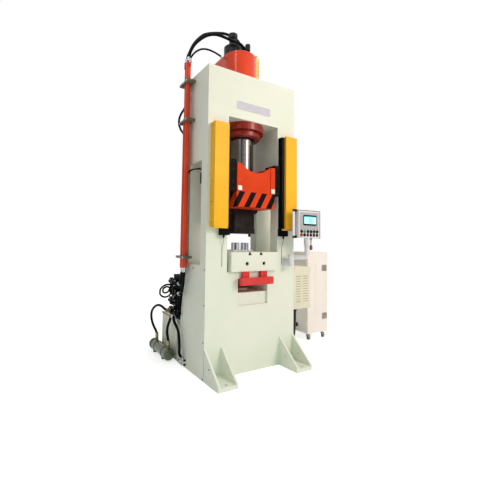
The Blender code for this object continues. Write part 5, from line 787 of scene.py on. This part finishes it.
def guard_trim():
    """Screws on rails and covers, curtain windows, ledges and lips under the covers, glands and leads."""
    screws, heads, windows, ledges, lips, leads, glands = (Shape() for _ in range(7))
    for side, face in product(BOTH, BOTH):
        for z in (2.155, 2.245, 2.39, 2.48):
            screws.socket((side * 0.333, face * 0.340, z), 0.011, (0, face, 0), 0.005)
        windows.box((side * 0.402, face * 0.3653, 1.73), (side * 0.466, face * 0.3668, 2.87))
        x, y, wall = side * 0.447, face * 0.33, face * 0.2995
        glands.turn([(0, 0), (0.012, 0), (0.012, -0.018), (0.008, -0.034), (0, -0.034)],
                    (x, y, 1.61), steps=16)
        path = curve_points([(x, y, 1.58), (x, y, 1.55), (x, face * 0.312, 1.50), (x, wall, 1.45),
                             (x, wall, 1.30), (x, wall, 1.255), (x, face * 0.296, 1.25)], 0.008)
        leads.tube(path, 0.0026, 10)
    # On the right the ledge under the cover is pale orange: painted shade on the cover's yellow.
    for side, shelf, inner in ((-1, lips, 0.432), (1, ledges, 0.385)):
        for z in (1.75, 1.98, 2.22, 2.86):
            heads.pin((side * 0.615, -0.340, z), 0.006, 0.003, (side, 0, 0), 16, 0.001)
        shelf.box((side * inner, -0.3985, 1.684), (side * 0.613, -0.3670, 1.7055))
        shelf.box((side * 0.4975, -0.3670, 1.697), (side * 0.613, -0.2955, 1.7055))
    screws.make("rail_screws", TOOL_STEEL, angle=25)
    heads.make("cover_screws", TOOL_STEEL)
    windows.make("curtain_windows", BLACK_PLASTIC, slot="black_plastic", bevel=0.0005)
    ledges.make("cover_ledges", SHADED_LEDGE_YELLOW, bevel=0.0015)
    lips.make("cover_lips", YELLOW_COAT, bevel=0.0015)
    glands.make("curtain_glands", BLACK_PLASTIC, slot="black_plastic")
    leads.make("curtain_leads", LEAD_COVER, slot="hose_rubber", angle=60)


def frame_trim():
    """Blank plate, screws, drain ports and lines, painted shade in the bolster's holes and T-slots, weld
    beads and clamp bolts.
    """
    rivets, dots, ports, lines, hollow_shade, nuts_and_slot_shade, beads, clamps = (Shape() for _ in range(8))
    face = FRONT - 0.0022
    plate = Shape().box((-0.268, face, 3.146), (0.248, FRONT - 0.0002, 3.248))
    plate.make("blank_plate", PLATE_FILM, slot="cast_aluminium", bevel=0.0006)
    for x, z in product((-0.259, 0.239), (3.155, 3.239)):
        rivets.pin((x, face, z), 0.004, 0.0016, (0, -1, 0), 14, 0.0006)
    rivets.make("plate_rivets", ZINC)
    for y, z in ((0.016, 1.214), (-0.276, 1.216), (-0.275, 0.82), (-0.268, 0.413), (-0.270, 0.020),
                 (-0.413, 0.170)):
        for side in BOTH:
            dots.socket((side * SIDE, y, z), 0.008, (side, 0, 0), 0.004)
    dots.make("frame_screws", TOOL_STEEL, angle=25)
    for z in (0.087, 0.035):
        ports.turn([(0, 0), (0.013, 0), (0.013, 0.012), (0.008, 0.016), (0.008, 0.030), (0, 0.030)],
                   (-SIDE, 0.188, z), (-1, 0, 0), 6)
    ports.make("drain_ports", BLACK_ENAMEL, slot="black_enamel", angle=25)
    for route in (((-0.684, 0.188, 0.087), (-0.690, 0.195, 0.12), (-0.690, 0.26, 0.30), (-0.688, 0.33, 0.45),
                   (-0.690, 0.40, 0.52), (-0.692, 0.44, 0.575)),
                  ((-0.684, 0.188, 0.035), (-0.694, 0.200, 0.032), (-0.690, 0.30, 0.030),
                   (-0.680, 0.40, 0.030), (-0.668, 0.462, 0.030), (-0.655, 0.474, 0.030))):
        lines.tube(curve_points(route, 0.01), 0.004, 10)
    lines.make("drain_lines", ZINC, angle=60)
    reach = -BOLSTER_FRONT
    # Painted shade: near-black rings and discs in the bolster's front and rear holes, a strip along each
    # T-slot's floor and blocks that fill each slot's front end.
    for x, way in product((-0.125, 0.125), BOTH):
        hollow_shade.turn([(0.0166, 0), (0.0215, 0), (0.0215, 0.0012), (0.0166, 0.0012)],
                  (x, way * (reach + SEAT), BOLSTER_HOLE_Z), (0, way, 0), 28)
        hollow_shade.turn([(0, 0), (0.0166, 0), (0.0166, 0.050), (0.0158, 0.050), (0.0158, 0.004), (0, 0.004)],
                  (x, way * (reach - 0.0595), BOLSTER_HOLE_Z), (0, way, 0), 24)
    for x in (-0.083, 0.083):
        hollow_shade.box((x - 0.0205, 0.001 - reach, BOLSTER_TOP - 0.0358),
                 (x + 0.0205, reach - 0.001, BOLSTER_TOP - 0.0340))
        for half, low, high in ((0.0200, 0.0339, 0.0205), (0.0112, 0.0205, 0.0040)):
            nuts_and_slot_shade.box((x - half, 0.004 - reach, BOLSTER_TOP - low),
                     (x + half, 0.040 - reach, BOLSTER_TOP - high))
    hollow_shade.make("bolster_hole_shade", HOLLOW_SHADE_BLACK)
    nuts_and_slot_shade.make("slot_mouth_shade", HOLLOW_SHADE_BLACK, bevel=0.0006)
    for side in BOTH:
        for inset in (0.0, 0.025, 0.215, 0.240):
            x = side * (SIDE - inset)
            bead_line(beads, (x, FRONT, 0.05), (x, FRONT, 0.34))
            bead_line(beads, (x, REAR, 0.01), (x, REAR, 0.94))
        for inset in (0.026, 0.214):
            x = side * (SIDE - inset)
            bead_line(beads, (x, FRONT - 0.32, 0.0455), (x, FRONT - 0.005, 0.0455))
    beads.make("weld_beads", FRAME_ENAMEL, slot="frame_enamel", angle=60)
    for z, y in product(CLAMP_HEIGHTS, (0.072, 0.166, 0.262)):
        clamps.bolt((-0.77, y, z), 0.008, (-1, 0, 0))
    clamps.make("clamp_bolts", ZINC, angle=25)


def bead_line(shape, start, end):
    """A run of weld between two points: a thin bar whose radius swells at every ripple."""
    start, end = np.array(start, float), np.array(end, float)
    path = np.linspace(start, end, max(5, int(np.linalg.norm(end - start) / 0.006)))
    shape.tube(path, 0.0035, 6, 1.0 + 0.18 * np.sin(np.arange(len(path)) * 1.9))


def plant_trim():
    """Filler, sight glass and lid bolts of the oil tank, manifold plugs and screws, and cooler bolts."""
    seam, plugs, caps, ring = (Shape() for _ in range(4))
    filler = Shape().pin((0.36, 0.62, OIL_TANK_TOP), 0.045, 0.016, steps=32)
    filler.pin((0.36, 0.62, OIL_TANK_TOP + 0.016), 0.036, 0.055, steps=32, chamfer=0.008)
    filler.make("tank_filler", ZINC)
    glass = Shape().box((-0.6605, 0.93, 0.22), (-0.650, 0.96, 0.42))
    glass.make("tank_sight_glass", WHITE_NYLON, bevel=0.002)
    for x, y in product(np.linspace(-0.60, 0.44, 10), (0.487, 0.985)):
        seam.bolt((x, y, OIL_TANK_TOP), 0.006, (0, 0, 1))
    seam.make("tank_lid_bolts", ZINC, angle=25)
    for number, z in enumerate(MODULE_Z):
        plugs.box((MODULE_X + 0.012, 0.600, z + 0.024), (MODULE_X + 0.052, 0.640, z + 0.050))
        for y, lift in product((0.412, 0.578), (-0.028, 0.028)):
            caps.socket((MODULE_X, y, z + lift), 0.0065, (-1, 0, 0), 0.005)
        if number < 2:
            plugs.box((MODULE_X + 0.014, 0.345, z + 0.022), (MODULE_X + 0.050, 0.385, z + 0.046))
    plugs.make("coil_plugs", BLACK_PLASTIC, slot="black_plastic", bevel=0.002)
    caps.make("valve_screws", ZINC, angle=25)
    for (x, z, _), (y, way) in product(circle(0, 0.071, 8, 0.5), ((0.519, -1), (1.021, 1))):
        ring.bolt((COOLER_X + x, y, COOLER_Z + z), 0.0045, (0, way, 0))
    ring.make("cooler_bolts", OLIVE, slot="olive_enamel", angle=25)


def tank_trim():
    """Level glass beside the gauge column, cap screws round the prefill tank and marks on the gauge."""
    screws, marks = Shape(), Shape()
    glass = Shape().box((0.2232, 0.030, 3.62), (0.2348, 0.052, 3.985))
    glass.make("level_glass", WHITE_NYLON, bevel=0.002)
    middle, reach = 0.072, 0.205
    turns = np.radians(np.arange(190, 351, 20))
    round_end = [(reach * math.cos(turn), middle + reach * math.sin(turn)) for turn in turns]
    for x, y in round_end + [(x, y) for y in (0.13, 0.21, 0.29, 0.37) for x in (-reach, reach)]:
        screws.socket((x, y, TANK_TOP), 0.0075, (0, 0, 1), 0.006)
    screws.make("tank_screws", BLACK_ENAMEL, slot="black_enamel", angle=25)
    for z in np.linspace(3.66, 4.02, 7):
        marks.box((0.262, 0.0126, z - 0.001), (0.287, 0.0141, z + 0.001))
    marks.make("gauge_marks", BLACK_PLASTIC, slot="black_plastic")


def display_grid():
    """The lit picture of the pendant's display.

    A grid of quads coloured by formula: a cyan field that pales towards its middle, a darker title bar over
    the top eighth, pale data lines on the left, a ruled table of three columns in the middle and a column of
    pale keys on the right. It carries no lettering.
    """
    wide, tall = 60, 36
    (x, z), (half_x, half_z) = SCREEN_MIDDLE, SCREEN_HALF
    u, v = np.meshgrid(np.linspace(-1, 1, wide + 1), np.linspace(-1, 1, tall + 1))
    points = np.stack([x + half_x * u, np.full_like(u, PANEL_FRONT - 0.0040), z + half_z * v], axis=-1)
    index = np.arange(u.size).reshape(u.shape)
    faces = np.stack([index[:-1, :-1], index[:-1, 1:], index[1:, 1:], index[1:, :-1]], axis=-1)
    faces = faces.reshape(-1, 4)
    mesh = bpy.data.meshes.new("display")
    mesh.from_pydata(points.reshape(-1, 3).tolist(), [], faces.tolist())
    mesh.materials.append(DISPLAY)
    codes = ("#93F3F5", "#BDFAFA", "#58BDD2", "#CFFCFB")
    field, pale, deep, key = (np.array(lin(code)[:3]) for code in codes)
    u, v = ((np.arange(wide) + 0.5) / wide)[None, :], ((np.arange(tall) + 0.5) / tall)[:, None]
    glow = np.exp(-((u - 0.5) ** 2 + (v - 0.45) ** 2) * 5)[..., None] * 0.5
    middle = (v > 0.12) & (v < 0.78)
    box = (u > 0.05) & (u < 0.30) & middle & ((v * 8) % 1 > 0.25)
    table = (u > 0.36) & (u < 0.72) & middle
    rule = table & (((v * 9) % 1 < 0.22) | ((u * 8.3) % 1 < 0.12))
    keys = (u > 0.78) & (u < 0.95) & ((v * 5) % 1 > 0.3) & (v < 0.8)
    tone = field + (pale - field) * glow
    title = v + 0 * u > 0.875
    for mask, colour in ((box, pale), (table, field * 0.9), (rule, deep), (keys, key), (title, deep)):
        tone = np.where(mask[..., None], colour, tone)
    colours = np.ones((len(faces), 4, 4))
    colours[..., :3] = tone.reshape(-1, 1, 3)
    mesh.color_attributes.new("picture", "FLOAT_COLOR", "CORNER").data.foreach_set("color", colours.ravel())
    piece = place_object("display", mesh)
    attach(piece, "panel")


def rounded_outline(middle, half, radius):
    """Points round a rectangle with rounded corners.

    Each corner's points are its centre plus radius * (cos(angle), sin(angle)), with the angle over the
    corner's own quarter turn.
    """
    quarter = np.arange(4)[:, None] * math.pi / 2 + np.linspace(0, math.pi / 2, CORNER_POINTS)[None, :]
    signs = np.array(((1, 1), (-1, 1), (-1, -1), (1, -1)))[:, None, :]
    centres = np.array(middle) + signs * (np.array(half) - radius)
    return (centres + radius * np.stack([np.cos(quarter), np.sin(quarter)], axis=-1)).reshape(-1, 2)


def pendant_trim():
    """Face sheet, display surround, shadow line, rings, lamps, handles and corner guards of the pendant."""
    rings, lamps, greens, guards, caps, grips, corners, bolts = (Shape() for _ in range(8))
    left, right, y = PANEL_X - PANEL_HALF, PANEL_X + PANEL_HALF, PANEL_FRONT
    face = Shape().box((left + 0.020, y - 0.0025, PANEL_LOW + 0.104),
                       (right - 0.020, y - SEAT, PANEL_LOW + 0.322))
    face.make("pendant_face", BRUSHED_SHEET, "panel", "cast_aluminium")
    outer = rounded_outline((PANEL_X + 0.009, PANEL_LOW + 0.2245), (0.115, 0.066), 0.016)
    inner = rounded_outline(SCREEN_MIDDLE, SCREEN_HALF, 0.004)
    rows = [np.insert(outline, 1, y - proud, axis=1)
            for outline, proud in ((outer, 0.0027), (outer, 0.0065), (inner, 0.0065), (inner, 0.0027))]
    surround = Shape().skin(np.array(rows), True)
    surround.make("display_surround", BLACK_PLASTIC, "panel", "black_plastic", bevel=0.001)
    # A black strip under the panel's top edge stands for the shadow there: painted shadow.
    edge = Shape().box((left + 0.012, y - 0.0035, PANEL_LOW + 0.3425),
                       (right - 0.012, y - 0.0026, PANEL_LOW + 0.3465))
    edge.make("pendant_shadow_line", BLACK_PLASTIC, "panel", "black_plastic")
    for number in range(6):
        x = PANEL_X + (number - 2.5) * BUTTON_PITCH
        # The first ring lies flat, because the emergency stop's mushroom comes down over it.
        tall = 0.004 if number else 0.0004
        rings.turn([(0.0132, 0), (0.0215, 0), (0.0215, tall / 2), (0.0185, tall), (0.0132, tall)],
                   (x, y, PANEL_LOW + 0.040), (0, -1, 0), 28)
        (greens if number == 1 else lamps).turn(
            [(0, 0), (0.0195, 0), (0.0195, 0.008), (0.0165, 0.0135), (0, 0.0145)], (x, y, PANEL_LOW + 0.083),
            (0, -1, 0), 24)
    rings.make("button_rings", BLACK_PLASTIC, "panel", "black_plastic")
    lamps.make("black_knobs", BLACK_PLASTIC, "panel", "black_plastic")
    greens.make("green_lamps", GREEN_PLASTIC, "panel", "green_plastic")
    for side, ends, sleeve in ((-1, guards, grips), (1, caps, caps)):
        wall = PANEL_X + side * PANEL_HALF
        for low, high in ((1.590, 1.620), (1.922, 1.951)):
            ends.box((wall, HANDLE_Y - 0.013, low), (wall + side * 0.053, HANDLE_Y + 0.013, high))
        sleeve.turn([(0.0092, 0), (0.0145, 0), (0.0145, 0.296), (0.0092, 0.296)],
                    (wall + side * 0.045, HANDLE_Y, 1.623), steps=24)
        for low, high in ((-0.001, 0.022), (0.336, 0.359)):
            corners.box((PANEL_X + side * 0.181, -0.4765, PANEL_LOW + low),
                        (PANEL_X + side * 0.160, -0.4740, PANEL_LOW + high))
    guards.make("handle_ends", BLACK_PLASTIC, "panel", "black_plastic", bevel=0.003)
    caps.make("right_handle_cover", BRUSHED_SHEET, "panel", "cast_aluminium", bevel=0.003)
    grips.make("left_handle_grip", GRIP_WHITE, "panel")
    corners.make("rear_corner_guards", BLACK_PLASTIC, "panel", "black_plastic", bevel=0.001)
    for x, z in product((0.482, 0.552), (1.245, 1.315)):
        bolts.socket((x, FRONT - 0.0123, z), 0.006, (0, -1, 0), 0.005)
    bolts.make("bracket_screws", ZINC, angle=25)


def cabinet_trim():
    """Vent backs and blades, seam and lock of the cabinet's door, painted shade under the louvre box's
    blades, and its screws.
    """
    backs, blades, louvre_shade, screws = (Shape() for _ in range(4))
    right, front = CABINET_RIGHT, CABINET_FRONT
    for low in VENT_LOWS:
        z = CABINET_LOW + low
        backs.box((right - 0.134, front + 0.0185, z - 0.006), (right - 0.016, front + 0.0195, z + 0.104))
        for number in range(5):
            low = z + number * VENT_PITCH + 0.0085
            blades.box((right - 0.131, front - 0.003, low), (right - 0.019, front + 0.001, low + 0.008))
    backs.make("vent_backs", VENT_GREY_AND_LOUVRE_SHADE, "door")
    blades.make("vent_blades", VENT_GREY_AND_LOUVRE_SHADE, "door", bevel=0.001)
    seam = Shape().box((CABINET_LEFT + 0.176, front - 0.0008, CABINET_LOW + 0.20),
                       (CABINET_LEFT + 0.1785, front - 0.0002, CABINET_LOW + 1.12))
    seam.make("door_seam", SEAM_COAT, "door")
    # Painted shade: a grey strip just under each louvre blade.
    for number, (low, high) in product(range(LOUVRE_ROWS), ((0.05, 0.13), (0.17, 0.26))):
        z = LOUVRE_LOW + number * LOUVRE_PITCH
        louvre_shade.box((SIDE + low + 0.003, FRONT - 0.0014, z - 0.0075),
                 (SIDE + high - 0.003, FRONT - 0.0002, z - 0.0005))
    louvre_shade.make("louvre_painted_shade", VENT_GREY_AND_LOUVRE_SHADE)
    lock = Shape().box((right - 0.053, front - 0.001, CABINET_LOW + 0.703),
                       (right - 0.032, front + 0.0055, CABINET_LOW + 0.797))
    lock.make("door_lock", CREAM_COAT, "door", "cream_powder_coat", bevel=0.002)
    for x, z in product((0.672, 0.938), (0.68, 1.19)):
        screws.pin((x, FRONT, z), 0.006, 0.003, (0, -1, 0), 14, 0.001)
    screws.make("louvre_box_screws", ZINC)


cylinder_trim()
slide_trim()
guard_trim()
frame_trim()
plant_trim()
tank_trim()
display_grid()
pendant_trim()
cabinet_trim()


def area_light(name, place, target, wide, tall, power, colour="#FFFFFF"):
    """A soft rectangular lamp that faces its target."""
    data = bpy.data.lights.new(name, "AREA")
    data.shape = "RECTANGLE"
    data.size = wide
    data.size_y = tall
    data.energy = power
    data.color = lin(colour)[:3]
    lamp = place_object(name, data)
    lamp.location = place
    lamp.rotation_euler = (Vector(target) - Vector(place)).to_track_quat("-Z", "Y").to_euler()


def seen_straight(tree):
    """One for rays from the camera or by way of metal or glass, and nought for the light on the object."""
    rays = add_node(tree, "LightPath").outputs
    mirrored = add_node(tree, "Math", links={0: rays["Is Glossy Ray"], 1: rays["Is Transmission Ray"]},
                        operation="MAXIMUM")
    return add_node(tree, "Math", links={0: rays["Is Camera Ray"], 1: mirrored}, operation="MAXIMUM")


def flat_piece(name, corners, material):
    """A flat sheet that belongs to the studio."""
    mesh = bpy.data.meshes.new(name)
    mesh.from_pydata(corners, [], [(0, 1, 2, 3)])
    mesh.materials.append(material)
    sheet = place_object(name, mesh)
    return sheet


def studio():
    """White surround and floor, a soft lamp high at the front right, weak fills and three dark cards."""
    material, tree, shader, place = new_material("pale_studio_floor")
    patches = uneven(tree, place, 1700, 2.0, 0.3, 0.7)
    tone = add_node(tree, "Mix", {6: lin("#F7F7F5"), 7: lin("#F3F3F1")}, {0: patches}, data_type="RGBA")
    glow = add_node(tree, "Math", {1: 0.60}, {0: seen_straight(tree)}, operation="MULTIPLY")
    settle(tree, shader, {"Roughness": 0.75, "Specular IOR Level": 0.2, "Emission Color": lin("#FFFFFF")},
           {"Base Color": tone, "Emission Strength": glow})
    flat_piece("studio_floor", [(-60, -60, 0), (60, -60, 0), (60, 60, 0), (-60, 60, 0)], material)
    world = bpy.data.worlds.new("studio_surround")
    world.use_nodes = True
    tree = world.node_tree
    level = add_node(tree, "MapRange", {3: 0.42, 4: 1.0}, {0: seen_straight(tree)})
    settle(tree, tree.nodes["Background"], {0: lin("#FFFFFF")}, {1: level})
    bpy.context.scene.world = world
    card, tree, shader, _ = new_material("black_card")
    settle(tree, shader, {"Base Color": lin("#0A0A0B"), "Roughness": 0.9})
    shade = flat_piece("card_behind_window",
                       [(-0.9, 1.3, 1.25), (0.9, 1.3, 1.25), (0.9, 1.3, 3.3), (-0.9, 1.3, 3.3)], card)
    shade.visible_camera = shade.visible_shadow = shade.visible_transmission = False
    for name, angle, wide in (("card_front", -112.0, 1.5), ("card_left", -165.0, 1.6)):
        middle = Vector((math.cos(math.radians(angle)), math.sin(math.radians(angle)), 0)) * 5.0
        side = Vector((-middle.y, middle.x, 0)).normalized() * wide / 2
        low, high = Vector((0, 0, 0.9)), Vector((0, 0, 5.6))
        sheet = flat_piece(name, [middle - side + low, middle + side + low, middle + side + high,
                                  middle - side + high], card)
        sheet.visible_camera = sheet.visible_diffuse = False
        sheet.visible_shadow = sheet.visible_transmission = False
    area_light("front_key", (2.8, -6.2, 4.6), (0, 0, 2.2), 3.0, 2.4, 248, "#FFEFE3")
    area_light("top_soft", (1.0, -1.5, 8.0), (0, 0, 1.5), 4.0, 4.0, 80)
    area_light("rear_fill", (3.2, 6.0, 4.0), (0, 0, 2.0), 3.0, 3.0, 45, "#FFE6D2")
    area_light("floor_fill", (-1.6, -3.4, 0.7), (0, -0.3, 0.4), 1.8, 0.8, 13, "#A9EFE9")
    area_light("tank_strip_left", (-4.2, -2.7, 6.2), (0, 0, 3.8), 0.16, 2.6, 20)
    area_light("tank_strip_rear", (-4.7, 1.7, 6.2), (0, 0, 3.8), 0.16, 2.6, 16)
    bpy.context.scene.view_settings.view_transform = "Standard"


studio()
